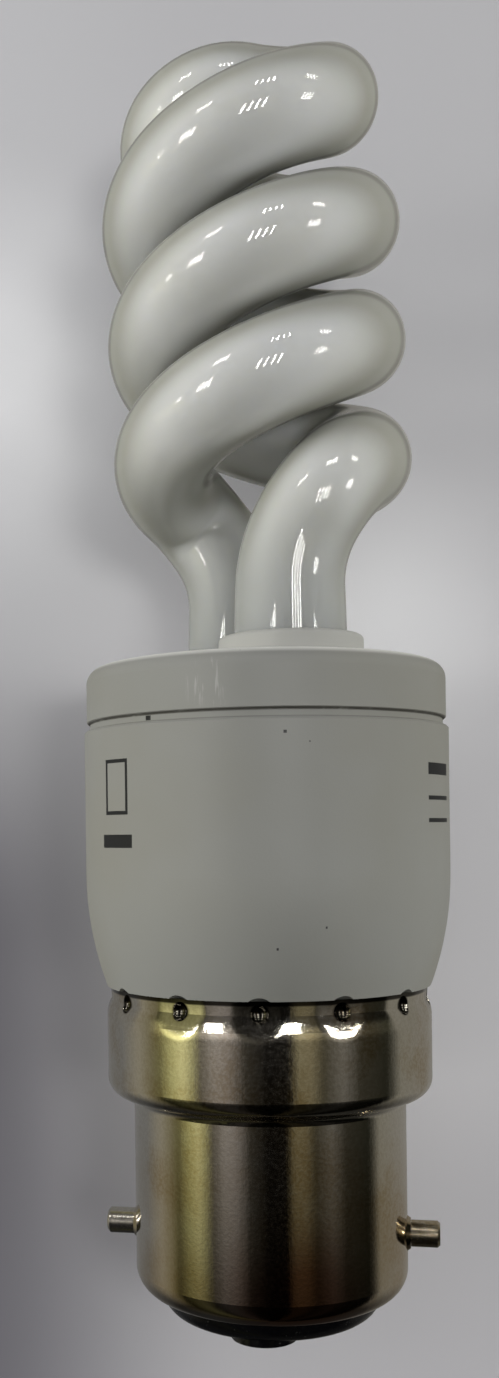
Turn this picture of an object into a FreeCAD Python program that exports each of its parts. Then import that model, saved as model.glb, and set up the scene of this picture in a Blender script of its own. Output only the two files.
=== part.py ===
import FreeCAD, Part
import math
import os
import re
import Sketcher

V = FreeCAD.Vector
document = FreeCAD.newDocument("spiral_bulb")
sheet = document.addObject("Spreadsheet::Sheet", "Sizes")

# Driving sizes, in millimetres and degrees. Heights are measured up from the
# bayonet pins' axis, and angles from the right-hand pin, seen from the tube.
SIZES = [
    # B22d cap
    ("barrel_radius", 11.0), ("barrel_top", 10.5), ("cap_sheet", 0.35), ("rim_curl", 2.05),
    ("rim_drop", 4.8), ("neck_fillet", 0.7), ("skirt_step", 2.1), ("skirt_top", 20.0),
    ("crimp_start", 17.7), ("crimp_round", 2.2), ("crimp_angle", 33.0), ("crimp_lip", 0.3),
    ("dent_count", 13), ("dent_first_angle", 24.7), ("dent_radius", 0.75), ("dent_depth", 0.45),
    ("dent_height", 19.1), ("pucker_radius", 1.9), ("pucker_top", 1.2), ("pucker_rise", 0.25),
    # bayonet pins
    ("pin_radius", 1.05), ("pin_reach", 2.55), ("pin_chamfer", 0.2), ("shank_radius", 0.75),
    ("rivet_radius", 1.15), ("rivet_height", 0.6), ("pin_gap", 0.02),
    # insulator and contacts
    ("insulator_top", -1.5), ("insulator_bottom", -6.6), ("insulator_round", 1.9),
    ("boss_margin", 1.25), ("boss_wall", 0.4), ("boss_drop", 0.45), ("contact_radius", 2.2),
    ("contact_bottom", -7.25), ("contact_seat", -6.2), ("lead_bore", 0.6),
    # lower housing
    ("housing_step", 1.6), ("housing_wall", 1.2), ("housing_straight", 29.0),
    ("housing_top", 40.5), ("spigot_bottom", 13.0), ("spigot_wall", 1.0), ("spigot_gap", 0.1),
    ("rib_count", 6), ("rib_thickness", 1.2), ("rib_length", 8.0), ("rib_depth", 1.1), ("edge_chamfer", 0.15),
    # tube holder
    ("collar_step", 0.2), ("collar_round", 1.3), ("collar_top", 45.6), ("seam_depth", 0.25),
    ("seam_height", 0.6), ("holder_plate", 1.4), ("holder_skirt", 3.5), ("holder_wall", 1.2),
    ("holder_gap", 0.1), ("ferrule_radius", 5.6), ("ferrule_top", 47.3), ("ferrule_bottom", 42.0),
    ("ferrule_round", 0.4), ("leg_gap", 0.25),
    # glass tube
    ("tube_radius", 4.35), ("wound_radius", 4.03), ("taper_length", 3.4), ("leg_circle", 5.93),
    ("leg_angle", -62.5), ("leg_bottom", 38.6), ("bend_start", 51.0), ("coil_radius", 8.03), ("coil_pitch", 19.1), ("coil_base", 61.75),
    ("coil_start", -23.5), ("coil_end", 497.0), ("coil_step", 43.0), ("crown_height", 92.2),
    ("crown_heading", 34.0), ("coil_lean", 2.2), ("lean_heading", 191.5), ("lean_height", 63.0),
    ("seal_width", 4.2), ("seal_thickness", 1.5), ("seal_length", 1.8), ("seal_dome", 1.6),
    # cement and board
    ("cement_bottom", 40.4), ("cement_gap", 0.25), ("board_gap", 0.2), ("board_seat", 33.0),
    ("board_thickness", 1.0),
    # choke
    ("choke_x", 5.2), ("choke_width", 8.8), ("choke_depth", 11.6), ("choke_height", 10.6),
    ("core_leg", 2.2), ("core_thickness", 4.4), ("bobbin_flange", 0.7), ("bobbin_wall", 0.5),
    ("winding_build", 1.6), ("fit_gap", 0.1),
    # drive transformer
    ("toroid_x", -4.4), ("toroid_y", -5.2), ("toroid_outer", 3.7), ("toroid_inner", 1.9),
    ("toroid_height", 3.0), ("toroid_gap", 0.1), ("winding_wire", 0.25), ("winding_loops", 9),
    ("winding_first_angle", 95.0), ("winding_step_angle", 27.0),
    # capacitors, transistors, diodes, resistors
    ("bulk_x", -4.8), ("bulk_y", 3.4), ("bulk_radius", 4.0), ("bulk_length", 16.0), ("bulk_round", 0.5),
    ("film_x", -10.15), ("film_y", -1.2), ("film_width", 2.6), ("film_depth", 5.6), ("film_height", 8.0),
    ("start_x", -6.0), ("start_y", -6.3), ("start_size", 4.6), ("start_height", 2.6), ("film_round", 0.5),
    ("transistor_x", 2.8), ("transistor_y", 8.2), ("transistor_radius", 2.3), ("transistor_flat", 1.3),
    ("transistor_height", 4.6), ("transistor_legs", 2.0), ("transistor_pitch", 1.27), ("leg_wire", 0.23),
    ("diode_x", 8.6), ("diode_y", 1.8), ("diode_radius", 1.3), ("diode_length", 4.6), ("part_lead", 0.3),
    ("lead_reach", 1.1), ("part_lift", 0.2), ("resistor_x", 5.0), ("resistor_y", 4.9),
    ("resistor_pitch", 2.3), ("resistor_radius", 1.0), ("resistor_length", 5.2),
    ("fuse_radius", 1.7), ("fuse_bottom", 3.0), ("fuse_length", 9.0), ("supply_radius", 0.4),
    ("filament_wire", 0.25), ("filament_spread", 1.2),
]

# Sizes that follow from the driving ones.
TIED_SIZES = [
    ("skirt_radius", "barrel_radius + skirt_step"),
    ("housing_radius", "skirt_radius + housing_step"),
    ("housing_bulge", "((housing_straight - skirt_top) ^ 2 + housing_step ^ 2) / (2 * housing_step)"),
    ("rim_radius", "barrel_radius - rim_curl"),
    ("pin_tip", "barrel_radius + pin_reach"),
    ("boss_radius", "contact_radius + boss_wall"),
    ("contact_offset", "rim_radius - boss_radius - boss_margin"),
]


def write_sizes():
    """Put each size in its own named cell, as a number or a formula."""
    rows = [(alias, str(value)) for alias, value in SIZES]
    rows += [(alias, "=" + formula) for alias, formula in TIED_SIZES]
    for row, (alias, content) in enumerate(rows, start=1):
        sheet.set("A%d" % row, alias)
        sheet.set("B%d" % row, content)
        sheet.setAlias("B%d" % row, alias)
    document.recompute()


def bound(text):
    """Write a formula of size names the way a property's expression needs it."""
    return re.sub(r"\b[a-z][a-z_]*\b(?!\s*\()", lambda name: "Sizes." + name.group(0), text)


def size(text):
    """Work a formula of size names out as a number."""
    result = sheet.evalExpression(bound(text))
    return float(getattr(result, "Value", result))


def tie(item, **formulas):
    """Bind properties such as Radius or Placement.Base.x to the sheet."""
    for name, formula in formulas.items():
        item.setExpression(name.replace("__", "."), bound(formula))


def place(item, x="0", y="0", z="0"):
    """Bind where an object stands."""
    tie(item, Placement__Base__x=x, Placement__Base__y=y, Placement__Base__z=z)


def hide(items):
    """Mark objects as used up by another, so that they are not sub-parts."""
    for item in items:
        item.Label = "used_" + item.Name


# Sub-parts by node name, in the order in which they are made.
nodes = {}


def keep(item, name):
    """Give a finished sub-part its own name."""
    item.Label = name
    nodes[name] = item
    return item


# Primitives and booleans

def cylinder(radius, height, x="0", y="0", z="0"):
    item = document.addObject("Part::Cylinder", "Cylinder")
    tie(item, Radius=radius, Height=height)
    place(item, x, y, z)
    return item


def block(width, depth, height, x="0", y="0", z="0"):
    """A box centred on x and y that stands on z."""
    item = document.addObject("Part::Box", "Box")
    tie(item, Length=width, Width=depth, Height=height)
    place(item, "%s - (%s) / 2" % (x, width), "%s - (%s) / 2" % (y, depth), z)
    return item


def fuse(*items):
    item = document.addObject("Part::MultiFuse", "Fusion")
    item.Shapes = list(items)
    hide(items)
    return item


def cut(base, *tools):
    tool = tools[0] if len(tools) == 1 else fuse(*tools)
    item = document.addObject("Part::Cut", "Cut")
    item.Base = base
    item.Tool = tool
    hide([base, tool])
    return item


def rounded(base, radius, chosen):
    """Round the edges that the test picks from the base's shape."""
    document.recompute()
    edges = [n for n, edge in enumerate(base.Shape.Edges, start=1) if chosen(edge)]
    item = document.addObject("Part::Fillet", "Fillet")
    item.Base = base
    item.Edges = [(n, size(radius), size(radius)) for n in edges]
    hide([base])
    return item


# Sketched bodies

def new_sketch(body, role, height=None):
    sketch = body.newObject("Sketcher::SketchObject", "Sketch")
    plane = [item for item in body.Origin.OriginFeatures if item.Role == role][0]
    sketch.AttachmentSupport = [(plane, "")]
    sketch.MapMode = "FlatFace"
    if height is not None:
        tie(sketch, AttachmentOffset__Base__z=height)
    return sketch


# Arcs are drawn this much larger, so that a quarter turn stays a hair short of
# its neighbours and never turns the long way round.
ARC_EASE = 1.00001


def draw_outline(sketch, corners):
    """Draw a closed outline whose corners are (x, y) formulas. A corner with a
    third item is the start of an arc of that radius to the next corner, which
    bulges to the right of the way there if a fourth item is 1, and to the left
    if it is -1."""
    points = [V(size(c[0]), size(c[1]), 0) for c in corners]
    pieces = []
    for n, corner in enumerate(corners):
        start = points[n]
        end = points[(n + 1) % len(corners)]
        if len(corner) == 2:
            pieces.append((sketch.addGeometry(Part.LineSegment(start, end)), 1, 2))
            continue
        radius = size(corner[2]) * ARC_EASE
        middle = (start + end) / 2
        half = (end - start).Length / 2
        side = V(end.y - start.y, start.x - end.x, 0) / (2 * half) * corner[3]
        centre = middle - side * math.sqrt(max(0.0, radius ** 2 - half ** 2))
        first, last = (1, 2) if corner[3] == 1 else (2, 1)
        opening = (start if corner[3] == 1 else end) - centre
        angle = math.atan2(opening.y, opening.x)
        circle = Part.Circle(centre, V(0, 0, 1), radius)
        arc = Part.ArcOfCircle(circle, angle, angle + 2 * math.asin(half / radius))
        pieces.append((sketch.addGeometry(arc), first, last))
    constraints, formulas = [], {}
    for n, (index, first, last) in enumerate(pieces):
        following = pieces[(n + 1) % len(pieces)]
        constraints.append(Sketcher.Constraint("Coincident", index, last, following[0], following[1]))
        for kind, formula, axis in (("DistanceX", corners[n][0], -2), ("DistanceY", corners[n][1], -1)):
            if formula == "0":
                constraints.append(Sketcher.Constraint("PointOnObject", index, first, axis))
                continue
            formulas[len(constraints)] = formula
            constraints.append(Sketcher.Constraint(kind, -1, 1, index, first, size(formula)))
        if len(corners[n]) > 2:
            radius = "(%s) * %s" % (corners[n][2], ARC_EASE)
            formulas[len(constraints)] = radius
            constraints.append(Sketcher.Constraint("Radius", index, size(radius)))
    constrain(sketch, constraints, formulas)


def constrain(sketch, constraints, formulas):
    """Add all constraints in one step, so that the exact drawing stays as drawn,
    then bind the sized ones to the sheet."""
    sketch.addConstraint(constraints)
    for number, formula in formulas.items():
        sketch.setExpression("Constraints[%d]" % number, bound(formula))


def draw_circle(sketch, x, y, radius):
    index = sketch.addGeometry(Part.Circle(V(size(x), size(y), 0), V(0, 0, 1), size(radius)))
    first = len(sketch.Constraints)
    constraints = [Sketcher.Constraint("DistanceX", -1, 1, index, 3, size(x)),
                   Sketcher.Constraint("DistanceY", -1, 1, index, 3, size(y)),
                   Sketcher.Constraint("Radius", index, size(radius))]
    constrain(sketch, constraints, {first: x, first + 1: y, first + 2: radius})


def turned_body(name, corners):
    """A body turned about the lamp's axis from a half section of (radius, height) corners."""
    body = document.addObject("PartDesign::Body", "Body")
    sketch = new_sketch(body, "XZ_Plane")
    draw_outline(sketch, corners)
    revolution = body.newObject("PartDesign::Revolution", "Revolution")
    revolution.Profile = sketch
    revolution.ReferenceAxis = (sketch, ["V_Axis"])
    revolution.Angle = 360
    document.recompute()
    return keep(body, name)


def turned_solid(corners):
    """The same with a plain revolution, for a section whose arcs are centred
    beyond the axis."""
    sketch = document.addObject("Sketcher::SketchObject", "Section")
    sketch.Placement = FreeCAD.Placement(V(0, 0, 0), FreeCAD.Rotation(V(1, 0, 0), 90))
    draw_outline(sketch, corners)
    item = document.addObject("Part::Revolution", "Revolution")
    item.Source = sketch
    item.Axis = V(0, 0, 1)
    item.Angle = 360
    item.Solid = True
    hide([sketch])
    return item


def extrude(body, kind, height, length, circles, up=True):
    """Pad or pocket circles, drawn at a height, by a length up or down."""
    sketch = new_sketch(body, "XY_Plane", height)
    for x, y, radius in circles:
        draw_circle(sketch, x, y, radius)
    before = body.Shape.Volume
    feature = body.newObject("PartDesign::" + kind, kind)
    feature.Profile = sketch
    feature.Reversed = up if kind == "Pocket" else not up
    tie(feature, Length=length)
    document.recompute()
    grown = body.Shape.Volume - before
    if (grown <= 0) == (kind == "Pad"):
        raise RuntimeError("%s of %s changed the volume by %.3f" % (kind, body.Label, grown))
    return feature


# Paths of straight runs and tangent arcs

def round_bar(path, start, heading, radius):
    """A solid of round section along a path."""
    disc = Part.Face(Part.Wire(Part.Circle(start, heading, radius).toShape()))
    return path.makePipe(disc)


def feature(name, shape):
    item = document.addObject("Part::Feature", "Feature")
    item.Shape = shape
    item.Placement = FreeCAD.Placement()
    return keep(item, name)


# Cap shell: one deep-drawn sheet. The barrel is curled in at its mouth, puckered
# round the holes for the pins and flared out to a skirt. The skirt's edge is
# rolled in on the housing, with a ring of punched dents that grip it.
def crimp_path(offset):
    """Corners of the skirt's rolled edge, at an offset inward from its outer face."""
    centre = "(skirt_radius - crimp_round)"
    radius = "(crimp_round - (%s))" % offset
    return [("%s + %s" % (centre, radius), "crimp_start", radius, 1),
            ("%s + %s * cos(crimp_angle * 1deg)" % (centre, radius),
             "crimp_start + %s * sin(crimp_angle * 1deg)" % radius)]


def dents(radius):
    """Balls centred where the punches stop."""
    count = int(size("dent_count"))
    out = "skirt_radius - crimp_lip + dent_radius - dent_depth"
    balls = []
    for n in range(count):
        turn = "((dent_first_angle + %d * 360 / dent_count) * 1deg)" % n
        ball = document.addObject("Part::Sphere", "Ball")
        tie(ball, Radius=radius)
        place(ball, "(%s) * cos%s" % (out, turn), "(%s) * sin%s" % (out, turn), "dent_height")
        balls.append(ball)
    return balls


def make_cap_shell():
    round_centre = "barrel_radius - rim_radius - rim_drop"
    shoulder = "barrel_top + skirt_radius - barrel_radius"
    lip = "skirt_radius - crimp_lip"
    blank = turned_solid([
        ("0", "-rim_drop"),
        ("rim_radius", "-rim_drop", "barrel_radius - rim_radius", 1),
        ("barrel_radius", round_centre),
        ("barrel_radius", "barrel_top", "neck_fillet", -1),
        ("barrel_radius + neck_fillet", "barrel_top + neck_fillet",
         "skirt_radius - barrel_radius - neck_fillet", 1),
        ("skirt_radius", shoulder),
    ] + crimp_path("0") + [
        (lip, "skirt_top"),
        ("0", "skirt_top"),
    ])
    core = turned_solid([
        ("0", "-2 * rim_drop"),
        ("rim_radius", "-2 * rim_drop"),
        ("rim_radius", "cap_sheet - rim_drop", "barrel_radius - rim_radius - cap_sheet", 1),
        ("barrel_radius - cap_sheet", round_centre),
        ("barrel_radius - cap_sheet", "barrel_top", "neck_fillet + cap_sheet", -1),
        ("barrel_radius + neck_fillet", "barrel_top + neck_fillet + cap_sheet",
         "skirt_radius - barrel_radius - neck_fillet - cap_sheet", 1),
        ("skirt_radius - cap_sheet", shoulder),
    ] + crimp_path("cap_sheet") + [
        (lip + " - cap_sheet", "skirt_top"),
        (lip + " - cap_sheet", "skirt_top + rim_drop"),
        ("0", "skirt_top + rim_drop"),
    ])
    puckers = [pin_side("Part::Cone", turn, "barrel_radius - 2 * cap_sheet", Radius1="pucker_radius",
                        Radius2="pucker_top", Height="2 * cap_sheet + pucker_rise") for turn in (0, 180)]
    holes = [pin_side("Part::Cylinder", turn, "rim_radius", Radius="shank_radius + pin_gap",
                      Height="barrel_radius") for turn in (0, 180)]
    hollow = cut(core, *dents("dent_radius + cap_sheet"))
    keep(cut(fuse(blank, *puckers), hollow, *dents("dent_radius"), *holes), "cap_shell")


def pin_side(kind, turn, start, **sizes):
    """A turned primitive that lies on the pins' axis, from a distance out."""
    item = document.addObject(kind, "PinSide")
    tie(item, **sizes)
    item.Placement.Rotation = FreeCAD.Rotation(V(0, 0, 1), turn) * FreeCAD.Rotation(V(0, 1, 0), 90)
    place(item, "(%s) * %d" % (start, 1 if turn == 0 else -1))
    return item


# Bayonet pins: each is a stepped pin, pushed in from outside and riveted over
# inside the barrel.
def make_pins():
    wall = "barrel_radius - cap_sheet"
    for name, turn in (("bayonet_pin_right", 0), ("bayonet_pin_left", 180)):
        body = document.addObject("PartDesign::Body", "Body")
        sketch = new_sketch(body, "XZ_Plane")
        draw_outline(sketch, [
            (wall + " - rivet_height", "0"),
            ("pin_tip", "0"),
            ("pin_tip", "pin_radius - pin_chamfer"),
            ("pin_tip - pin_chamfer", "pin_radius"),
            ("barrel_radius + pucker_rise + pin_gap", "pin_radius"),
            ("barrel_radius + pucker_rise + pin_gap", "shank_radius"),
            (wall + " - 2 * pin_gap", "shank_radius"),
            (wall + " - 2 * pin_gap - rivet_height / 3", "rivet_radius"),
            (wall + " - rivet_height", "rivet_radius * 2 / 3"),
        ])
        revolution = body.newObject("PartDesign::Revolution", "Revolution")
        revolution.Profile = sketch
        revolution.ReferenceAxis = (sketch, ["H_Axis"])
        revolution.Angle = 360
        body.Placement = FreeCAD.Placement(V(0, 0, 0), FreeCAD.Rotation(V(0, 0, 1), turn))
        keep(body, name)


# Insulator: black glass run into the mouth of the cap, domed outside, with a
# raised round boss for each contact.
def make_insulator():
    turned_body("cap_insulator", [
        ("0", "insulator_bottom"),
        ("rim_radius - insulator_round", "insulator_bottom", "insulator_round", 1),
        ("rim_radius", "insulator_bottom + insulator_round"),
        ("rim_radius", "cap_sheet - rim_drop", "barrel_radius - rim_radius - cap_sheet", 1),
        ("barrel_radius - cap_sheet", "barrel_radius - rim_radius - rim_drop"),
        ("barrel_radius - cap_sheet", "insulator_top"),
        ("0", "insulator_top"),
    ])
    body = nodes["cap_insulator"]
    spots = ("contact_offset", "-contact_offset")
    extrude(body, "Pad", "insulator_bottom + 1", "boss_drop + 1",
            [("0", y, "boss_radius") for y in spots], up=False)
    extrude(body, "Pocket", "insulator_bottom - boss_drop - 1", "contact_seat - insulator_bottom + boss_drop + 1",
            [("0", y, "contact_radius") for y in spots])
    extrude(body, "Pocket", "insulator_bottom - boss_drop - 1", "insulator_top - insulator_bottom + boss_drop + 2",
            [("0", y, "lead_bore") for y in spots])


# Contacts: a domed brass disc in each boss, with its lead behind it.
def make_contacts():
    for name, y in (("contact_front", "-contact_offset"), ("contact_back", "contact_offset")):
        body = document.addObject("PartDesign::Body", "Body")
        sketch = new_sketch(body, "XZ_Plane")
        draw_outline(sketch, [
            ("0", "contact_bottom"),
            ("contact_radius / 2", "contact_bottom", "contact_radius * 1.1", 1),
            ("contact_radius", "insulator_bottom - boss_drop"),
            ("contact_radius", "contact_seat"),
            ("0", "contact_seat"),
        ])
        revolution = body.newObject("PartDesign::Revolution", "Revolution")
        revolution.Profile = sketch
        revolution.ReferenceAxis = (sketch, ["V_Axis"])
        revolution.Angle = 360
        place(body, y=y)
        keep(body, name)


# Ballast housing: a moulded cup whose spigot fits in the cap's skirt. It swells
# to a straight wall, and ribs inside carry the circuit board.
def make_housing():
    spigot = "skirt_radius - cap_sheet - spigot_gap"
    waist = crimp_path("cap_sheet + spigot_gap")
    inner = "housing_radius - housing_wall"
    centre = "housing_radius - housing_bulge"
    rise = "housing_straight - skirt_top"
    sweep = "housing_bulge - housing_wall"
    inner_foot = "%s + sqrt((%s) ^ 2 - (%s - housing_wall) ^ 2)" % (centre, sweep, rise)
    outer_foot = "%s + sqrt(housing_bulge ^ 2 - (%s) ^ 2)" % (centre, rise)
    shell = turned_solid([
        (spigot, "spigot_bottom"),
    ] + waist + [
        (waist[1][0], "skirt_top"),
        (outer_foot, "skirt_top", "housing_bulge", 1),
        ("housing_radius", "housing_straight"),
        ("housing_radius", "housing_top - edge_chamfer"),
        ("housing_radius - edge_chamfer", "housing_top"),
        (inner, "housing_top"),
        (inner, "housing_straight", sweep, -1),
        (inner_foot, "skirt_top + housing_wall"),
        (spigot + " - spigot_wall", "skirt_top + housing_wall"),
        (spigot + " - spigot_wall", "spigot_bottom"),
    ])
    count = int(size("rib_count"))
    ribs = []
    for n in range(count):
        turn = 360.0 * n / count
        rib = document.addObject("Part::Box", "Rib")
        tie(rib, Length="rib_depth + housing_wall / 4", Width="rib_thickness", Height="rib_length")
        rib.Placement.Rotation = FreeCAD.Rotation(V(0, 0, 1), turn)
        reach = "(%s - rib_depth)" % inner
        place(rib, "%s * cos(%.6fdeg) + rib_thickness / 2 * sin(%.6fdeg)" % (reach, turn, turn),
              "%s * sin(%.6fdeg) - rib_thickness / 2 * cos(%.6fdeg)" % (reach, turn, turn),
              "board_seat - rib_length")
        ribs.append(rib)
    keep(cut(fuse(shell, *ribs), *dents("dent_radius + cap_sheet + spigot_gap")), "ballast_housing")


# Tube holder: the moulded lid, with a recessed band at the seam, a skirt that
# fits in the housing and a ferrule round each leg of the tube.
def make_holder():
    skirt = "housing_radius - housing_wall - holder_gap"
    collar = "housing_radius - collar_step"
    turned_body("tube_holder", [
        (skirt + " - holder_wall", "housing_top - holder_skirt"),
        (skirt, "housing_top - holder_skirt"),
        (skirt, "housing_top"),
        (collar + " - seam_depth", "housing_top"),
        (collar + " - seam_depth", "housing_top + seam_height"),
        (collar + " - edge_chamfer", "housing_top + seam_height"),
        (collar, "housing_top + seam_height + edge_chamfer"),
        (collar, "collar_top - collar_round", "collar_round", 1),
        (collar + " - collar_round", "collar_top"),
        ("0", "collar_top"),
        ("0", "collar_top - holder_plate"),
        (skirt + " - holder_wall", "collar_top - holder_plate"),
    ])
    body = nodes["tube_holder"]
    legs = leg_places()
    ferrules = extrude(body, "Pad", "ferrule_bottom", "ferrule_top - ferrule_bottom",
                       [(x, y, "ferrule_radius") for x, y in legs])
    top = size("ferrule_top")
    edges = ["Edge%d" % n for n, edge in enumerate(body.Shape.Edges, start=1)
             if abs(edge.BoundBox.ZMin - top) < 1e-6 and abs(edge.BoundBox.ZMax - top) < 1e-6]
    fillet = body.newObject("PartDesign::Fillet", "FerruleRound")
    fillet.Base = (ferrules, edges)
    tie(fillet, Radius="ferrule_round")
    document.recompute()
    extrude(body, "Pocket", "ferrule_bottom - 1", "ferrule_top - ferrule_bottom + 2",
            [(x, y, "tube_radius + leg_gap") for x, y in legs])


def leg_places():
    """The two legs' centres, as formulas."""
    x = "leg_circle * cos(leg_angle * 1deg)"
    y = "leg_circle * sin(leg_angle * 1deg)"
    return [(x, y), ("-" + x, "-" + y)]


# Discharge tube: one glass tube. Each leg rises, bends over into its strand of
# the double helix, and the two strands join in an S across the top.
def coil_point(angle):
    """A point of the first strand before it leans, and its heading there."""
    turn = math.radians(angle)
    radius = size("coil_radius")
    rise = size("coil_pitch") / (2 * math.pi)
    point = V(radius * math.cos(turn), radius * math.sin(turn), size("coil_base") + rise * turn)
    heading = V(-radius * math.sin(turn), radius * math.cos(turn), rise).normalize()
    return point, heading


def leaning():
    """The small lean of the bent coil about its foot."""
    way = math.radians(size("lean_heading"))
    turn = FreeCAD.Rotation(V(-math.sin(way), math.cos(way), 0), size("coil_lean"))
    return FreeCAD.Placement(V(0, 0, 0), turn, V(0, 0, size("lean_height")))


def strand(half_turn):
    """Points and headings of one strand, from the top of its leg up to the crown."""
    opposite = FreeCAD.Rotation(V(0, 0, 1), half_turn)
    lean = leaning()
    way = math.radians(size("leg_angle"))
    foot = opposite.multVec(V(math.cos(way), math.sin(way), 0) * size("leg_circle"))
    up = V(0, 0, 1)
    stations = [(foot + up * size("bend_start"), up)]
    first, last = size("coil_start"), size("coil_end")
    count = round((last - first) / size("coil_step"))
    for n in range(count + 1):
        point, heading = coil_point(first + (last - first) * n / count)
        stations.append((lean.multVec(opposite.multVec(point)),
                         lean.Rotation.multVec(opposite.multVec(heading))))
    way = math.radians(size("crown_heading") + half_turn)
    stations.append((lean.multVec(V(0, 0, size("crown_height"))),
                     lean.Rotation.multVec(V(math.cos(way), math.sin(way), 0))))
    return stations


def arc_between(start, heading, end):
    """The arc that leaves start along heading and ends at end."""
    chord = end - start
    half = chord.getAngle(heading)
    if half < 1e-9:
        return Part.LineSegment(start, end).toShape(), math.inf
    radius = chord.Length / (2 * math.sin(half))
    inward = (chord - heading * chord.dot(heading)).normalize()
    middle = start + heading * (radius * math.sin(half)) + inward * (radius * (1 - math.cos(half)))
    return Part.Arc(start, middle, end).toShape(), radius


def two_arcs(start, end):
    """Two tangent arcs between two stations, whose control legs are equal."""
    chord = end[0] - start[0]
    a = 2 * (1 - start[1].dot(end[1]))
    b = 2 * chord.dot(start[1] + end[1])
    c = -chord.dot(chord)
    leg = -c / b if a < 1e-9 else (math.sqrt(b * b - 4 * a * c) - b) / (2 * a)
    first = start[0] + start[1] * leg
    second = end[0] - end[1] * leg
    joint = (first + second) / 2
    return [arc_between(start[0], start[1], joint),
            arc_between(joint, (second - first).normalize(), end[0])]


def make_tube():
    front, back = strand(0), strand(180)
    route = front + [(point, -heading) for point, heading in reversed(back[:-1])]
    edges, radii = [], []
    for start, end in zip(route[:-1], route[1:]):
        for edge, radius in two_arcs(start, end):
            edges.append(edge)
            radii.append(radius)
    path = Part.Wire(edges)
    tube = round_bar(path, route[0][0], route[0][1], size("wound_radius"))
    section = math.pi * size("wound_radius") ** 2 * path.Length
    print("tube: %.1f long, least bend radius %.2f, volume %.1f against %.1f"
          % (path.Length, min(radii), tube.Volume, section))
    legs = [tube_leg(size(x), size(y)) for x, y in leg_places()]
    feature("discharge_tube", tube.multiFuse(legs).removeSplitter())


def tube_leg(x, y):
    """A leg, with its drawn-in and pinched end. Winding has stretched the glass
    above it, so it tapers there."""
    taper = size("bend_start - taper_length")
    straight = Part.makeCylinder(size("tube_radius"), taper - size("leg_bottom"), V(x, y, size("leg_bottom")))
    drawn = Part.makeCone(size("tube_radius"), size("wound_radius"), size("taper_length"), V(x, y, taper))
    dome = Part.makeCone(size("tube_radius") * 0.5, size("tube_radius"), size("seal_dome"),
                         V(x, y, size("leg_bottom - seal_dome")))
    wide, thin, deep = size("seal_width"), size("seal_thickness"), size("seal_length + seal_dome / 2")
    pinch = Part.makeBox(wide, thin, deep,
                         V(x - wide / 2, y - thin / 2, size("leg_bottom - seal_dome - seal_length")))
    return straight.multiFuse([drawn, dome, pinch])


# Filament leads: two wires from each pinched end to the board.
def make_filament_leads():
    number = 1
    for x, y in leg_places():
        for side in ("-filament_spread", "filament_spread"):
            bottom = "board_seat + board_thickness"
            lead = cylinder("filament_wire", "leg_bottom - seal_dome - seal_length - (%s)" % bottom,
                            "%s + %s" % (x, side), y, bottom)
            keep(lead, "filament_lead_%d" % number)
            number += 1


# Cement: a poured ring that holds both legs in the lid.
def make_cement():
    skirt = "housing_radius - housing_wall - holder_gap - holder_wall - cement_gap"
    disc = cylinder(skirt, "ferrule_bottom - cement_bottom", z="cement_bottom")
    holes = [cylinder("tube_radius", "ferrule_bottom - cement_bottom + 2", x, y, "cement_bottom - 1")
             for x, y in leg_places()]
    keep(cut(disc, *holes), "leg_cement")


# Circuit board: a round board on the housing's ribs.
def make_board():
    keep(cylinder("housing_radius - housing_wall - board_gap", "board_thickness", z="board_seat"), "circuit_board")


# Choke: a ferrite frame with a middle leg, and a bobbin with its winding.
def make_choke():
    bottom = "board_seat - choke_height"
    frame = block("choke_width", "core_thickness", "choke_height", "choke_x", "0", bottom)
    window = "(choke_width - 2 * core_leg - core_leg) / 2"
    side = "core_leg / 2 + (%s) / 2" % window
    windows = [block(window, "core_thickness + 2", "choke_height - 2 * core_leg",
                     "choke_x %s (%s)" % (sign, side), "0", bottom + " + core_leg") for sign in "+-"]
    keep(cut(frame, *windows), "choke_core")
    inner_bottom = bottom + " + core_leg + fit_gap"
    inner_height = "choke_height - 2 * core_leg - 2 * fit_gap"
    hole = block("core_leg + 2 * fit_gap", "core_thickness + 2 * fit_gap", "choke_height",
                 "choke_x", "0", bottom)
    sleeve_width = "core_leg + 2 * fit_gap + 2 * bobbin_wall"
    sleeve_depth = "core_thickness + 2 * fit_gap + 2 * bobbin_wall"
    flange_width = "core_leg + 2 * (%s) - 2 * fit_gap" % window
    flange_depth = "choke_depth"
    sleeve = block(sleeve_width, sleeve_depth, inner_height, "choke_x", "0", inner_bottom)
    flanges = [block(flange_width, flange_depth, "bobbin_flange", "choke_x", "0", z)
               for z in (inner_bottom, "%s + %s - bobbin_flange" % (inner_bottom, inner_height))]
    keep(cut(fuse(sleeve, *flanges), hole), "choke_bobbin")
    coil_bottom = inner_bottom + " + bobbin_flange"
    coil_height = inner_height + " - 2 * bobbin_flange"
    coil = block(flange_width + " - 2 * fit_gap", sleeve_depth + " + 2 * winding_build", coil_height,
                 "choke_x", "0", coil_bottom)
    middle = block(sleeve_width, sleeve_depth, "choke_height", "choke_x", "0", bottom)
    keep(cut(coil, middle), "choke_winding")


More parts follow.
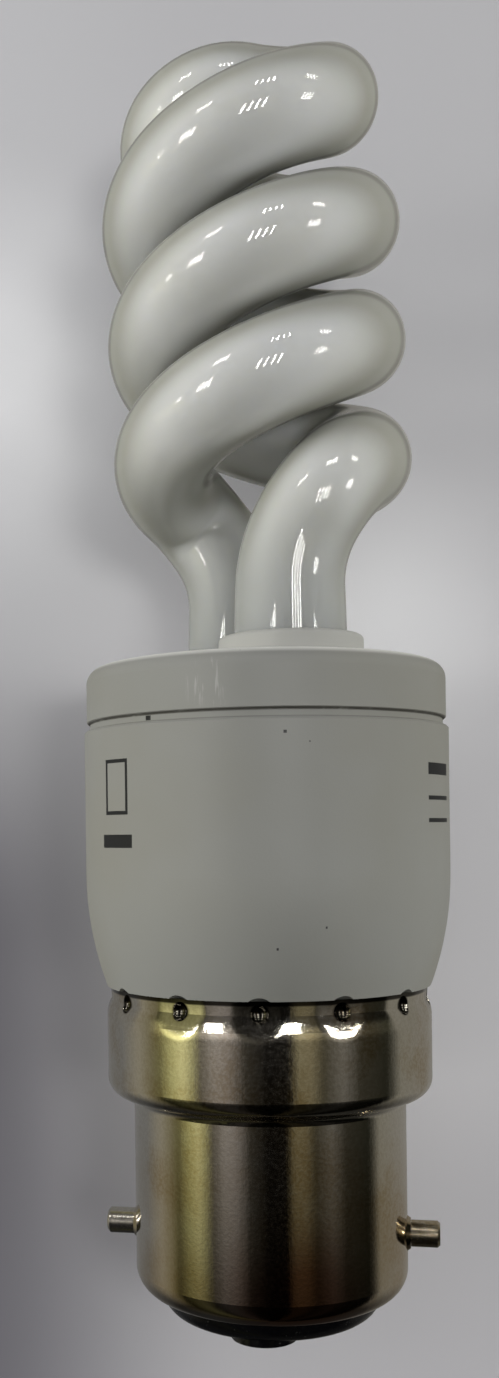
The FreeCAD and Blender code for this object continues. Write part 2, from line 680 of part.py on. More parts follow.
# Drive transformer: a ferrite ring with loops of wire round it.
def make_toroid():
    bottom = "board_seat - 2 * toroid_gap - 2 * winding_wire - toroid_height"
    ring = cylinder("toroid_outer", "toroid_height", "toroid_x", "toroid_y", bottom)
    hole = cylinder("toroid_inner", "toroid_height + 2", "toroid_x", "toroid_y", bottom + " - 1")
    keep(cut(ring, hole), "toroid_core")
    wire = 2 * size("winding_wire")
    clear = size("toroid_gap")
    inner = Part.makeBox(size("toroid_outer - toroid_inner") + 2 * clear, 2 * wire,
                         size("toroid_height") + 2 * clear,
                         V(size("toroid_inner") - clear, -wire, size(bottom) - clear))
    box = inner.BoundBox
    outer = Part.makeBox(box.XLength + 2 * wire, wire, box.ZLength + 2 * wire,
                         V(box.XMin - wire, -wire / 2, box.ZMin - wire))
    loop = outer.cut(inner)
    loops = []
    for n in range(int(size("winding_loops"))):
        turn = size("winding_first_angle") + n * size("winding_step_angle")
        placed = loop.copy()
        placed.Placement = FreeCAD.Placement(V(size("toroid_x"), size("toroid_y"), 0),
                                             FreeCAD.Rotation(V(0, 0, 1), turn))
        loops.append(placed)
    feature("toroid_windings", Part.makeCompound(loops))


# Capacitors: a large can that hangs down into the cap, and two dipped films.
def make_capacitors():
    can = cylinder("bulk_radius", "bulk_length", "bulk_x", "bulk_y", "board_seat - bulk_length")
    keep(rounded(can, "bulk_round", lambda edge: edge.Curve.TypeId == "Part::GeomCircle"),
         "electrolytic_capacitor")
    upright = lambda edge: edge.BoundBox.ZLength > 1
    film = block("film_width", "film_depth", "film_height", "film_x", "film_y", "board_seat - film_height")
    keep(rounded(film, "film_round", upright), "film_capacitor")
    start = block("start_size", "start_size", "start_height", "start_x", "start_y",
                  "board_seat + board_thickness")
    keep(rounded(start, "film_round", upright), "starting_capacitor")


# Transistors: a moulded body with one flat side, on three legs.
def make_transistors():
    for number, sign in enumerate("+-", start=1):
        y = "%stransistor_y" % sign
        top = "board_seat - transistor_legs"
        round_side = cylinder("transistor_radius", "transistor_height", "transistor_x", y,
                              top + " - transistor_height")
        flat = block("3 * transistor_radius", "transistor_radius", "transistor_height + 2", "transistor_x",
                     "%s %s (transistor_flat + transistor_radius / 2)" % (y, sign),
                     top + " - transistor_height - 1")
        case = cut(round_side, flat)
        legs = [cylinder("leg_wire", "transistor_legs + 1", "transistor_x + %d * transistor_pitch" % n, y,
                         top + " - 1") for n in (-1, 0, 1)]
        keep(fuse(case, *legs), "transistor_%d" % number)


# Parts with axial leads, laid on the board's upper side.
def axial_part(name, x, y, radius, length):
    board = size("board_seat + board_thickness")
    height = board + size(radius) + size("part_lift")
    reach = size(length) / 2 + size("lead_reach")
    wire = size("part_lead")
    across, along = size(x), size(y)
    ends = [Part.makeCylinder(wire * 0.9, height - board, V(x, along, board))
            for x in (across - reach, across + reach)]
    lead = Part.makeCylinder(wire, 2 * (reach + wire), V(across - reach - wire, along, height), V(1, 0, 0))
    case = Part.makeCylinder(size(radius), size(length), V(across - size(length) / 2, along, height),
                             V(1, 0, 0))
    feature(name, case.multiFuse([lead] + ends))


def make_axial_parts():
    number = 1
    for x in ("diode_x", "-diode_x"):
        for y in ("diode_y", "-diode_y"):
            axial_part("rectifier_diode_%d" % number, x, y, "diode_radius", "diode_length")
            number += 1
    for n in range(3):
        axial_part("resistor_%d" % (n + 1), "resistor_x", "resistor_y + %d * resistor_pitch" % n,
                   "resistor_radius", "resistor_length")


# Leads from the contacts to the board: a plain wire, and the fusible resistor
# whose body stands in the cap.
def make_supply():
    start = "contact_seat"
    length = "board_seat - contact_seat"
    keep(cylinder("supply_radius", length, "0", "contact_offset", start), "supply_wire")
    lead = cylinder("supply_radius", length, "0", "-contact_offset", start)
    case = cylinder("fuse_radius", "fuse_length", "0", "-contact_offset", "fuse_bottom")
    keep(fuse(lead, case), "fuse_resistor")


def check_and_write():
    document.recompute()
    for item in document.Objects:
        if "Invalid" in item.State or "Error" in item.State:
            raise RuntimeError("%s (%s) failed: %s" % (item.Label, item.Name, item.getStatusString()))
    for name, item in nodes.items():
        if item.Shape.isNull() or not item.Shape.isValid() or not item.Shape.Solids:
            raise RuntimeError("%s has no valid solid" % name)
    os.makedirs("parts", exist_ok=True)
    for name, item in nodes.items():
        item.Shape.exportStep("parts/%s.step" % name)
        print("%-24s solids %2d faces %3d volume %9.2f" % (
            name, len(item.Shape.Solids), len(item.Shape.Faces), item.Shape.Volume))


write_sizes()
make_cap_shell()
make_pins()
make_insulator()
make_contacts()
make_housing()
make_holder()
make_tube()
make_filament_leads()
make_cement()
make_board()
make_choke()
make_toroid()
make_capacitors()
make_transistors()
make_axial_parts()
make_supply()
check_and_write()
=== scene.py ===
import math

import bpy
from mathutils import Matrix, Vector


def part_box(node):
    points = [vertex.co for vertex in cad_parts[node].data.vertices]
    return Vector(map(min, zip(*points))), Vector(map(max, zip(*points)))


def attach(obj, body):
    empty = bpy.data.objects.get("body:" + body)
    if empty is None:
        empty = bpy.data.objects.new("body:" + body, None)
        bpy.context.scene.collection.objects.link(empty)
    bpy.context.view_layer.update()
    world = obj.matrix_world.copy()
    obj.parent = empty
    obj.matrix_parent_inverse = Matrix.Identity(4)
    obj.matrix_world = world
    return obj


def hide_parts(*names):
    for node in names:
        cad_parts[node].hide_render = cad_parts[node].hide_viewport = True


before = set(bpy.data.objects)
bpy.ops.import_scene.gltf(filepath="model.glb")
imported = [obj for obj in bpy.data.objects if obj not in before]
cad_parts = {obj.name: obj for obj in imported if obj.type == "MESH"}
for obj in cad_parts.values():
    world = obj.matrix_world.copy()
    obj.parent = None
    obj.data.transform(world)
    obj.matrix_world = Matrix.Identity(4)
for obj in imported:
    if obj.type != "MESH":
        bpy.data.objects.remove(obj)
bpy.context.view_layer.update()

# Cap shell
# One deep-drawn brass sheet with a worn nickel plate. Drawing has left fine
# lines that run up the lamp, and the plate over them is grained and stained.

MM = 0.001
NICKEL, NICKEL_STAIN, NICKEL_BRIGHT = (0.66, 0.625, 0.55, 1), (0.50, 0.41, 0.27, 1), (0.80, 0.775, 0.71, 1)
HEAT_TINT, DARK_REFLECTION_TINT, CRIMP_SHADE = (0.50, 0.40, 0.27, 1), (0.26, 0.10, 0.05, 1), (0.02, 0.018, 0.014, 1)
HEAT_FULL, HEAT_END = -0.004, 0.012
DARK_REFLECTION_PLACE, DARK_REFLECTION_INNER, DARK_REFLECTION_OUTER = (0.0035, -0.0105, -0.0025), 0.003, 0.0095
# In millimetres: the dents, and under them the lip and the neck as their depth
# below the dents, their height and their curve.
DENTS, FIRST_DENT, DENT_HEIGHT, SKIRT_RADIUS = 13, 24.7, 19.1, 13.0
LIP, NECK = (1.4, 1.2, 0.19), (2.1, 1.9, 0.05)
DISH_INNER, DISH_OUTER, DISH_DEPTH = 0.5, 2.3, 0.12
GROOVE_FOOT, GROOVE_TOP, DENT_SHADE_INNER, DENT_SHADE_OUTER = 0.45, 0.6, 0.55, 0.9


def fill(tree, socket, value):
    """Link an input to a socket or set it to a value, and leave it at None."""
    if isinstance(value, bpy.types.NodeSocket):
        tree.links.new(value, socket)
    elif value is not None:
        socket.default_value = value


def add(tree, kind, *values, named=None, **settings):
    """Place a node, set its options, and fill its inputs in order or by name."""
    node = tree.nodes.new(kind)
    for name, value in settings.items():
        setattr(node, name, value)
    for number, value in enumerate(values):
        fill(tree, node.inputs[number], value)
    for name, value in (named or {}).items():
        fill(tree, node.inputs[name], value)
    return node


def new_group(name, kind, inputs, outputs):
    """A node group with named inputs and outputs, and what its inputs hold."""
    group = bpy.data.node_groups.new(name, kind)
    for rows, way in ((inputs, "INPUT"), (outputs, "OUTPUT")):
        for title, sort, *default in rows:
            socket = group.interface.new_socket(title, in_out=way, socket_type="NodeSocket" + sort)
            if default:
                socket.default_value = default[0]
    return group, group.nodes.new("NodeGroupInput").outputs


def put_out(group, **results):
    """Link a group's results to its outputs, and hand the group over."""
    add(group, "NodeGroupOutput", named=results)
    return group


def math_node(tree, operation, *values):
    return add(tree, "ShaderNodeMath", *values, operation=operation).outputs[0]


def plus(tree, first, second):
    return math_node(tree, "ADD", first, second)


def minus(tree, first, second):
    return math_node(tree, "SUBTRACT", first, second)


def times(tree, first, second):
    return math_node(tree, "MULTIPLY", first, second)


def vector_math(tree, operation, *values):
    """A vector operation: MULTIPLY gives a vector, and the others give a number."""
    node = add(tree, "ShaderNodeVectorMath", *values, operation=operation)
    return node.outputs["Vector" if operation == "MULTIPLY" else "Value"]


def xyz(tree, vector):
    return add(tree, "ShaderNodeSeparateXYZ", vector).outputs


def noise(tree, place, scale, detail, roughness):
    return add(tree, "ShaderNodeTexNoise", place, None, scale, detail, roughness).outputs[0]


def level(tree, value, low, high, least, most, **settings):
    """A level that goes from least to most while a value goes from low to high."""
    return add(tree, "ShaderNodeMapRange", value, low, high, least, most, **settings).outputs[0]


def ramp(tree, value, low, high, least=0.0, most=1.0):
    """The same, with a smooth start and end."""
    return level(tree, value, low, high, least, most, interpolation_type="SMOOTHSTEP")


def fall(tree, value, low, high):
    """A smooth step from 1 at low to 0 at high."""
    return minus(tree, 1.0, ramp(tree, value, low, high))


def blend_colours(tree, share, first, second):
    """Mix two colours by a mask."""
    mixed = add(tree, "ShaderNodeMix", named={"Factor": share, "A": first, "B": second}, data_type="RGBA")
    return mixed.outputs["Result"]


def finish_named(name, roughness, metallic=0.0, **shader_values):
    """A new material with a plain shader: its tree, its shader and each point's
    place in the lamp."""
    made = bpy.data.materials.new(name)
    made.use_nodes = True
    tree = made.node_tree
    shader = tree.nodes["Principled BSDF"]
    shader.inputs["Roughness"].default_value = roughness
    shader.inputs["Metallic"].default_value = metallic
    for socket, value in shader_values.items():
        shader.inputs[socket.replace("_", " ")].default_value = value
    return made, tree, shader, add(tree, "ShaderNodeTexCoord").outputs["Object"]


def paint(tree, shader, share, first, second):
    """Give a surface a mix of two colours."""
    tree.links.new(blend_colours(tree, share, first, second), shader.inputs["Base Color"])


def roughen(tree, shader, value, least, most, low=0.3, high=0.7):
    """Let the roughness go from least to most while a value goes from low to high."""
    tree.links.new(level(tree, value, low, high, least, most), shader.inputs["Roughness"])


def raise_skin(tree, shader, height, strength, depth):
    """Give a surface a fine relief."""
    relief = add(tree, "ShaderNodeBump", strength, depth, named={"Height": height})
    tree.links.new(relief.outputs[0], shader.inputs["Normal"])


def wear(node_name, made):
    """Give a CAD node its finish."""
    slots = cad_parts[node_name].data.materials
    slots.clear()
    slots.append(made)


def drawn_metal_group():
    """Lines along the lamp, a fine grain and wide stains, for plated sheet."""
    group, given = new_group("drawn_metal", "ShaderNodeTree", [
        ("Vector", "Vector"), ("Lines", "Float", 1500.0), ("Grain", "Float", 3800.0), ("Stains", "Float", 130.0),
    ], [("Lines", "Float"), ("Grain", "Float"), ("Stains", "Float"), ("Height", "Float")])
    stretched = vector_math(group, "MULTIPLY", given["Vector"], (1.0, 1.0, 0.03))
    lines = noise(group, stretched, given["Lines"], 3.0, 0.7)
    grain = noise(group, given["Vector"], given["Grain"], 2.0, 0.6)
    stains = noise(group, given["Vector"], given["Stains"], 4.0, 0.6)
    return put_out(group, Lines=lines, Grain=grain, Stains=ramp(group, stains, 0.42, 0.66),
                   Height=plus(group, lines, grain))


drawn_metal = drawn_metal_group()


def plated(name, bump, roughness):
    """Worn nickel plate: grain and lines in its colour, gloss and relief."""
    made, tree, shader, place = finish_named(name, roughness, 1.0)
    surface = add(tree, "ShaderNodeGroup", place, node_tree=drawn_metal).outputs
    tone = blend_colours(tree, surface["Stains"], NICKEL, NICKEL_STAIN)
    speckled = times(tree, ramp(tree, surface["Grain"], 0.35, 0.65), 0.4)
    paint(tree, shader, speckled, tone, NICKEL_BRIGHT)
    roughen(tree, shader, surface["Grain"], roughness - 0.02, roughness + 0.03)
    raise_skin(tree, shader, surface["Height"], bump, 0.05 * MM)
    return made, tree, shader, place


def crimped_edge_group():
    """How far a point is from the nearest punched dent, and the relief that
    rolling and punching leave in the sheet below it, in millimetres."""
    group, given = new_group("crimped_edge", "ShaderNodeTree", [
        ("Vector", "Vector"), ("Count", "Float", DENTS), ("First", "Float"), ("Height", "Float"),
    ], [("Distance", "Float"), ("Groove", "Float"), ("Relief", "Float")])
    x, y, z = xyz(group, vector_math(group, "MULTIPLY", given["Vector"], (1000.0, 1000.0, 1000.0)))
    turns = math_node(group, "DIVIDE", minus(group, math_node(group, "ARCTAN2", y, x), given["First"]), 2 * math.pi)
    place = times(group, turns, given["Count"])
    nearest = minus(group, place, math_node(group, "ROUND", place))
    arc = math_node(group, "DIVIDE", times(group, nearest, 2 * math.pi * SKIRT_RADIUS), given["Count"])
    up = minus(group, z, given["Height"])
    distance = math_node(group, "SQRT", plus(group, times(group, arc, arc), times(group, up, up)))
    curves = []
    for below, tall, curve in (LIP, NECK):
        reach = add(group, "ShaderNodeClamp", plus(group, up, below), 0.0, tall).outputs[0]
        curves.append(times(group, times(group, reach, reach), curve))
    dish = times(group, fall(group, distance, DISH_INNER, DISH_OUTER), DISH_DEPTH)
    return put_out(group, Distance=distance, Groove=ramp(group, up, GROOVE_FOOT, GROOVE_TOP),
                   Relief=minus(group, minus(group, *curves), dish))


made, tree, shader, place = plated("worn_nickel", 0.085, 0.085)
edge = add(tree, "ShaderNodeGroup", place, float(DENTS), math.radians(FIRST_DENT), DENT_HEIGHT,
           node_tree=crimped_edge_group()).outputs
metal = shader.inputs["Base Color"].links[0].from_socket
stain = noise(tree, place, 150.0, 3.0, 0.5)
heated = times(tree, fall(tree, xyz(tree, place)[2], HEAT_FULL, HEAT_END), ramp(tree, stain, 0.2, 0.55))
metal = blend_colours(tree, times(tree, heated, 0.6), metal, HEAT_TINT)
# A dark brown patch low on the barrel's front, broken by stains: a painted dark reflection of the room below.
uneven = plus(tree, vector_math(tree, "DISTANCE", place, DARK_REFLECTION_PLACE), times(tree, stain, 0.004))
dark_reflection = times(tree, fall(tree, uneven, DARK_REFLECTION_INNER, DARK_REFLECTION_OUTER), 0.85)
metal = blend_colours(tree, dark_reflection, metal, DARK_REFLECTION_TINT)
# The groove under the housing's edge and the punched dents are painted almost black: painted shade in these recesses.
crimp_shade = math_node(tree, "MAXIMUM", edge["Groove"], fall(tree, edge["Distance"], DENT_SHADE_INNER, DENT_SHADE_OUTER))
paint(tree, shader, times(tree, crimp_shade, 0.95), metal, CRIMP_SHADE)
rolled = add(tree, "ShaderNodeBump", 1.0, MM, named={"Height": edge["Relief"]})
tree.links.new(rolled.outputs[0], shader.inputs["Normal"].links[0].from_node.inputs["Normal"])
wear("cap_shell", made)

# Bayonet pins
# Two stepped brass pins, riveted inside the barrel and plated with the shell.
# Barrel plating has left them rougher than the sheet.

pin_plate = plated("pin_nickel", 0.25, 0.2)[0]
for pin in ("bayonet_pin_right", "bayonet_pin_left"):
    wear(pin, pin_plate)

# Insulator
# Black glass, run hot into the mouth of the cap. It is glossy, with a few
# shallow waves where it set and a little dust.

CAP_GLASS, GLASS_DUST = (0.002, 0.002, 0.0025, 1), (0.025, 0.025, 0.023, 1)

made, tree, shader, place = finish_named("black_cap_glass", 0.12, IOR=1.5)
waves = noise(tree, place, 320.0, 2.0, 0.5)
dust = noise(tree, place, 2600.0, 2.0, 0.6)
paint(tree, shader, ramp(tree, dust, 0.66, 0.82), CAP_GLASS, GLASS_DUST)
roughen(tree, shader, dust, 0.08, 0.3, low=0.4, high=0.75)
raise_skin(tree, shader, waves, 0.35, 0.2 * MM)
wear("cap_insulator", made)

# Contacts
# Two brass discs, held in the glass. Soft solder closes each over the end of its
# lead, and has left a skin that is dull and rippled where it froze.

SOLDER, SOLDER_BRIGHT = (0.46, 0.45, 0.42, 1), (0.62, 0.60, 0.55, 1)

made, tree, shader, place = finish_named("contact_solder", 0.34, 1.0)
ripple = noise(tree, place, 900.0, 3.0, 0.55)
paint(tree, shader, ramp(tree, ripple, 0.4, 0.65), SOLDER, SOLDER_BRIGHT)
raise_skin(tree, shader, ripple, 0.5, 0.2 * MM)
for contact in ("contact_front", "contact_back"):
    wear(contact, made)

# Supply leads
# A tinned wire from the back contact to the board, and a lacquered fusible
# resistor in the lead from the front one. Both stand in the empty cap.

TIN, TIN_DULL = (0.62, 0.61, 0.58, 1), (0.36, 0.35, 0.33, 1)
FUSE_LACQUER, FUSE_HEIGHT, FUSE_HALF = (0.10, 0.17, 0.12, 1), 0.0075, 0.00452
FUSE_RINGS = [(-0.0026, 0.0008, (0.30, 0.02, 0.01, 1)), (-0.0010, 0.0008, (0.02, 0.02, 0.02, 1)),
              (0.0006, 0.0008, (0.45, 0.35, 0.20, 1))]


def tinned_wire_group():
    """Bright tin with duller patches and a frozen ripple, for bare leads."""
    group, given = new_group("tinned_wire", "ShaderNodeTree", [("Vector", "Vector"), ("Patches", "Float", 700.0)],
                             [("Color", "Color"), ("Roughness", "Float"), ("Height", "Float")])
    patches = noise(group, given["Vector"], given["Patches"], 3.0, 0.6)
    dull = ramp(group, patches, 0.4, 0.65)
    return put_out(group, Color=blend_colours(group, dull, TIN, TIN_DULL),
                   Roughness=level(group, dull, 0.0, 1.0, 0.22, 0.45),
                   Height=noise(group, given["Vector"], 4200.0, 2.0, 0.5))


def painted_band_group():
    """A band of paint at one place along a body."""
    group, given = new_group("painted_band", "ShaderNodeTree", [
        ("Along", "Float"), ("Place", "Float"), ("Width", "Float", 0.0006)], [("Mask", "Float")])
    away = math_node(group, "ABSOLUTE", minus(group, given["Along"], given["Place"]))
    return put_out(group, Mask=fall(group, away, times(group, given["Width"], 0.5),
                                    times(group, given["Width"], 0.6)))


def moulded_plastic_group():
    """Cloudy tone, rare dark specks and a spark-eroded skin for moulded plastic."""
    group, given = new_group("moulded_plastic", "ShaderNodeTree", [
        ("Vector", "Vector"), ("Cloud", "Float", 60.0), ("Skin", "Float", 5200.0),
        ("Speck spacing", "Float", 150.0), ("Speck size", "Float", 0.012),
    ], [("Cloud", "Float"), ("Specks", "Float"), ("Skin", "Float")])
    cells = add(group, "ShaderNodeTexVoronoi", given["Vector"], None, given["Speck spacing"])
    chosen = add(group, "ShaderNodeSeparateColor", cells.outputs["Color"])
    near = math_node(group, "LESS_THAN", cells.outputs["Distance"], given["Speck size"])
    rare = math_node(group, "GREATER_THAN", chosen.outputs[0], 0.55)
    return put_out(group, Cloud=noise(group, given["Vector"], given["Cloud"], 3.0, 0.5),
                   Specks=times(group, near, rare), Skin=noise(group, given["Vector"], given["Skin"], 2.0, 0.5))


tinned_wire = tinned_wire_group()
painted_band = painted_band_group()
moulded_plastic = moulded_plastic_group()


def middle_of(low, high, height=None):
    """The middle of a node's box, at another height if one is given."""
    middle = [(a + b) / 2 for a, b in zip(low, high)]
    return middle if height is None else middle[:2] + [height]


def bare_wire(name, patches):
    """Tinned wire, soldered at its ends."""
    made, tree, shader, place = finish_named(name, 0.3, 1.0)
    tin = add(tree, "ShaderNodeGroup", place, patches, node_tree=tinned_wire).outputs
    tree.links.new(tin["Color"], shader.inputs["Base Color"])
    tree.links.new(tin["Roughness"], shader.inputs["Roughness"])
    raise_skin(tree, shader, tin["Height"], 0.3, 0.03 * MM)
    return made


def coated_body(name, middle, axis, half_length, coat, gloss, bands=()):
    """A coated body on tinned leads: coat within half_length of its middle."""
    made, tree, shader, place = finish_named(name, gloss, IOR=1.5)
    own = add(tree, "ShaderNodeMapping", place, [-length for length in middle]).outputs[0]
    along = xyz(tree, own)[axis]
    body = math_node(tree, "LESS_THAN", math_node(tree, "ABSOLUTE", along), half_length)
    surface = add(tree, "ShaderNodeGroup", own, 500.0, 3600.0, 1400.0, 0.02, node_tree=moulded_plastic).outputs
    shade = tuple(0.62 * part for part in coat[:3]) + (1,)
    colour = blend_colours(tree, ramp(tree, surface["Cloud"], 0.35, 0.7), coat, shade)
    for band_place, width, band_paint in bands:
        band = add(tree, "ShaderNodeGroup", along, band_place, width, node_tree=painted_band)
        colour = blend_colours(tree, band.outputs["Mask"], colour, band_paint)
    tin = add(tree, "ShaderNodeGroup", own, 700.0, node_tree=tinned_wire)
    paint(tree, shader, body, tin.outputs["Color"], colour)
    tree.links.new(minus(tree, 1.0, body), shader.inputs["Metallic"])
    cloudy = level(tree, surface["Cloud"], 0.3, 0.7, gloss - 0.06, gloss + 0.08)
    roughen(tree, shader, body, 0.3, cloudy, low=0.0, high=1.0)
    raise_skin(tree, shader, surface["Skin"], 0.3, 0.04 * MM)
    return made


wear("supply_wire", bare_wire("supply_tin", 500.0))
low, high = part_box("fuse_resistor")
wear("fuse_resistor", coated_body("fuse_lacquer", middle_of(low, high, FUSE_HEIGHT), 2, FUSE_HALF, FUSE_LACQUER,
                                  0.3, FUSE_RINGS))

# Circuit board
# A round disc punched from brown paper laminate. Paper fibres show in it, and
# its punched edge is pale.

LAMINATE, LAMINATE_DARK, PUNCHED_EDGE = (0.26, 0.15, 0.06, 1), (0.17, 0.09, 0.035, 1), (0.42, 0.30, 0.16, 1)
PALE_FROM, PALE_FULL = 0.0128, 0.0131


def from_axis(tree, place):
    """How far a point is from the upright through the origin."""
    return vector_math(tree, "LENGTH", vector_math(tree, "MULTIPLY", place, (1.0, 1.0, 0.0)))


made, tree, shader, place = finish_named("paper_laminate", 0.5, IOR=1.5)
fibre = noise(tree, vector_math(tree, "MULTIPLY", place, (1.0, 0.12, 1.0)), 1800.0, 4.0, 0.65)
colour = blend_colours(tree, ramp(tree, fibre, 0.35, 0.65), LAMINATE, LAMINATE_DARK)
paint(tree, shader, ramp(tree, from_axis(tree, place), PALE_FROM, PALE_FULL), colour, PUNCHED_EDGE)
roughen(tree, shader, fibre, 0.42, 0.62)
raise_skin(tree, shader, fibre, 0.25, 0.05 * MM)
wear("circuit_board", made)

# Choke and drive transformer
# Pressed and sintered ferrite cores, ground where they meet. The choke's wire is
# wound in layers on a moulded bobbin, and the ring has a few loops round it.

FERRITE, FERRITE_GROUND = (0.018, 0.018, 0.020, 1), (0.055, 0.055, 0.058, 1)
COPPER, COPPER_GAP_SHADE = (0.70, 0.27, 0.09, 1), (0.34, 0.11, 0.035, 1)
NYLON, NYLON_WORN = (0.022, 0.022, 0.023, 1), (0.038, 0.037, 0.035, 1)


def enamelled_copper_group():
    """Amber enamel over copper, laid in turns across the given vector's height."""
    group, given = new_group("enamelled_copper", "ShaderNodeTree", [
        ("Vector", "Vector"), ("Turns", "Float", 5000.0)], [("Color", "Color"), ("Height", "Float")])
    slack = noise(group, given["Vector"], 260.0, 2.0, 0.5)
    laid = plus(group, times(group, xyz(group, given["Vector"])[2], given["Turns"]), times(group, slack, 0.8))
    turns = math_node(group, "ABSOLUTE", math_node(group, "SINE", times(group, laid, math.pi)))
    # The copper is darker where neighbouring turns meet: painted shade between the turns.
    return put_out(group, Color=blend_colours(group, ramp(group, turns, 0.1, 0.7), COPPER_GAP_SHADE, COPPER),
                   Height=turns)


enamelled_copper = enamelled_copper_group()

made, tree, shader, place = finish_named("sintered_ferrite", 0.5, IOR=1.6)
grain = noise(tree, place, 2600.0, 3.0, 0.6)
rubbed = noise(tree, place, 300.0, 3.0, 0.6)
paint(tree, shader, ramp(tree, rubbed, 0.45, 0.7), FERRITE, FERRITE_GROUND)
roughen(tree, shader, grain, 0.4, 0.6)
raise_skin(tree, shader, grain, 0.4, 0.04 * MM)
for core in ("choke_core", "toroid_core"):
    wear(core, made)

made, tree, shader, place = finish_named("bobbin_nylon", 0.45, IOR=1.5)
surface = add(tree, "ShaderNodeGroup", place, 240.0, 4200.0, 900.0, 0.015, node_tree=moulded_plastic).outputs
paint(tree, shader, ramp(tree, surface["Cloud"], 0.35, 0.7), NYLON, NYLON_WORN)
roughen(tree, shader, surface["Cloud"], 0.38, 0.55)
raise_skin(tree, shader, surface["Skin"], 0.3, 0.04 * MM)
wear("choke_bobbin", made)

for winding, name, turns, depth in (("choke_winding", "layered_copper", 5200.0, 0.08 * MM),
                                    ("toroid_windings", "looped_copper", 9000.0, 0.02 * MM)):
    made, tree, shader, place = finish_named(name, 0.28, 1.0, Coat_Weight=0.6, Coat_Roughness=0.15)
    wire = add(tree, "ShaderNodeGroup", place, turns, node_tree=enamelled_copper).outputs
    tree.links.new(wire["Color"], shader.inputs["Base Color"])
    roughen(tree, shader, wire["Height"], 0.42, 0.24, low=0.0, high=1.0)
    raise_skin(tree, shader, wire["Height"], 0.6, depth)
    wear(winding, made)

# Electrolytic capacitor
# An aluminium can in a shrunk sleeve with a pale stripe for its polarity. The
# sleeve leaves the end of the can bare, which is scored so that it can vent.

SLEEVE, STRIPE = (0.012, 0.016, 0.035, 1), (0.42, 0.44, 0.46, 1)
ALUMINIUM, SCORED = (0.62, 0.63, 0.64, 1), (0.16, 0.16, 0.17, 1)
BARE_RADIUS, BARE_DEPTH, SCORE_HALF = 0.0033, 0.0002, 0.00009
STRIPE_ANGLE, STRIPE_HALF = 150.0, 16.0

low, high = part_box("electrolytic_capacitor")
made, tree, shader, place = finish_named("shrunk_sleeve", 0.3, IOR=1.5)
can_end = middle_of(low, high, low[2])
own = add(tree, "ShaderNodeMapping", place, [-length for length in can_end]).outputs[0]
x, y, z = xyz(tree, own)
off = math_node(tree, "ABSOLUTE", minus(tree, math_node(tree, "ARCTAN2", y, x), math.radians(STRIPE_ANGLE)))
stripe = math_node(tree, "LESS_THAN", off, math.radians(STRIPE_HALF))
bare = times(tree, math_node(tree, "LESS_THAN", from_axis(tree, own), BARE_RADIUS),
             math_node(tree, "LESS_THAN", z, BARE_DEPTH))
cross = math_node(tree, "MINIMUM", math_node(tree, "ABSOLUTE", x), math_node(tree, "ABSOLUTE", y))
score = math_node(tree, "LESS_THAN", cross, SCORE_HALF)
wrinkle = noise(tree, own, 900.0, 3.0, 0.55)
paint(tree, shader, bare, blend_colours(tree, stripe, SLEEVE, STRIPE),
      blend_colours(tree, score, ALUMINIUM, SCORED))
tree.links.new(bare, shader.inputs["Metallic"])
roughen(tree, shader, wrinkle, 0.22, 0.4)
raise_skin(tree, shader, minus(tree, wrinkle, times(tree, score, bare)), 0.3, 0.06 * MM)
wear("electrolytic_capacitor", made)

# Film capacitors
# Two wound films on tinned legs, which are soldered to the board. They were
# dipped in resin, which has set glossy with a slight orange peel.

for film, name, resin in (("film_capacitor", "red_resin", (0.24, 0.035, 0.015, 1)),
                          ("starting_capacitor", "ochre_resin", (0.40, 0.16, 0.03, 1))):
    made, tree, shader, place = finish_named(name, 0.18, IOR=1.52)
    surface = add(tree, "ShaderNodeGroup", place, 420.0, 1500.0, 800.0, 0.012, node_tree=moulded_plastic).outputs
    deep = tuple(0.6 * part for part in resin[:3]) + (1,)
    paint(tree, shader, ramp(tree, surface["Cloud"], 0.35, 0.7), resin, deep)
    roughen(tree, shader, surface["Cloud"], 0.14, 0.26)
    raise_skin(tree, shader, surface["Skin"], 0.4, 0.08 * MM)
    wear(film, made)

# Transistors
# Two cases moulded in black resin, with a matt skin. Each hangs from the board
# on three tinned legs.

CASE_RESIN, CASE_MIDDLE, CASE_HALF = (0.020, 0.020, 0.021, 1), 0.0023, 0.00232

for number in (1, 2):
    low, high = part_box("transistor_%d" % number)
    wear("transistor_%d" % number, coated_body(
        "transistor_resin_%d" % number, middle_of(low, high, low[2] + CASE_MIDDLE), 2, CASE_HALF, CASE_RESIN, 0.5))

# Rectifier diodes and resistors
# Laid on the board on bent tinned leads: black moulded diodes with a pale band
# at one end, and lacquered resistors with painted rings.

DIODE_RESIN, DIODE_UNDER_TOP, DIODE_HALF = (0.014, 0.014, 0.015, 1), 0.0013, 0.00232
DIODE_BAND = (-0.0015, 0.0008, (0.50, 0.50, 0.49, 1))
LACQUER, RESISTOR_HALF = (0.50, 0.36, 0.19, 1), 0.00262
FIRST_RING, RING_PITCH, RING_WIDTH, LAST_RING = -0.0017, 0.0009, 0.00045, 0.0017
BROWN, BLACK, RED = (0.10, 0.03, 0.01, 1), (0.01, 0.01, 0.01, 1), (0.42, 0.02, 0.01, 1)
ORANGE, YELLOW, GOLD = (0.62, 0.14, 0.01, 1), (0.65, 0.45, 0.02, 1), (0.42, 0.27, 0.06, 1)

for number in range(1, 5):
    low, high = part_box("rectifier_diode_%d" % number)
    middle = middle_of(low, high, high[2] - DIODE_UNDER_TOP)
    wear("rectifier_diode_%d" % number, coated_body("diode_resin_%d" % number, middle, 0, DIODE_HALF, DIODE_RESIN,
                                                    0.34, [DIODE_BAND]))

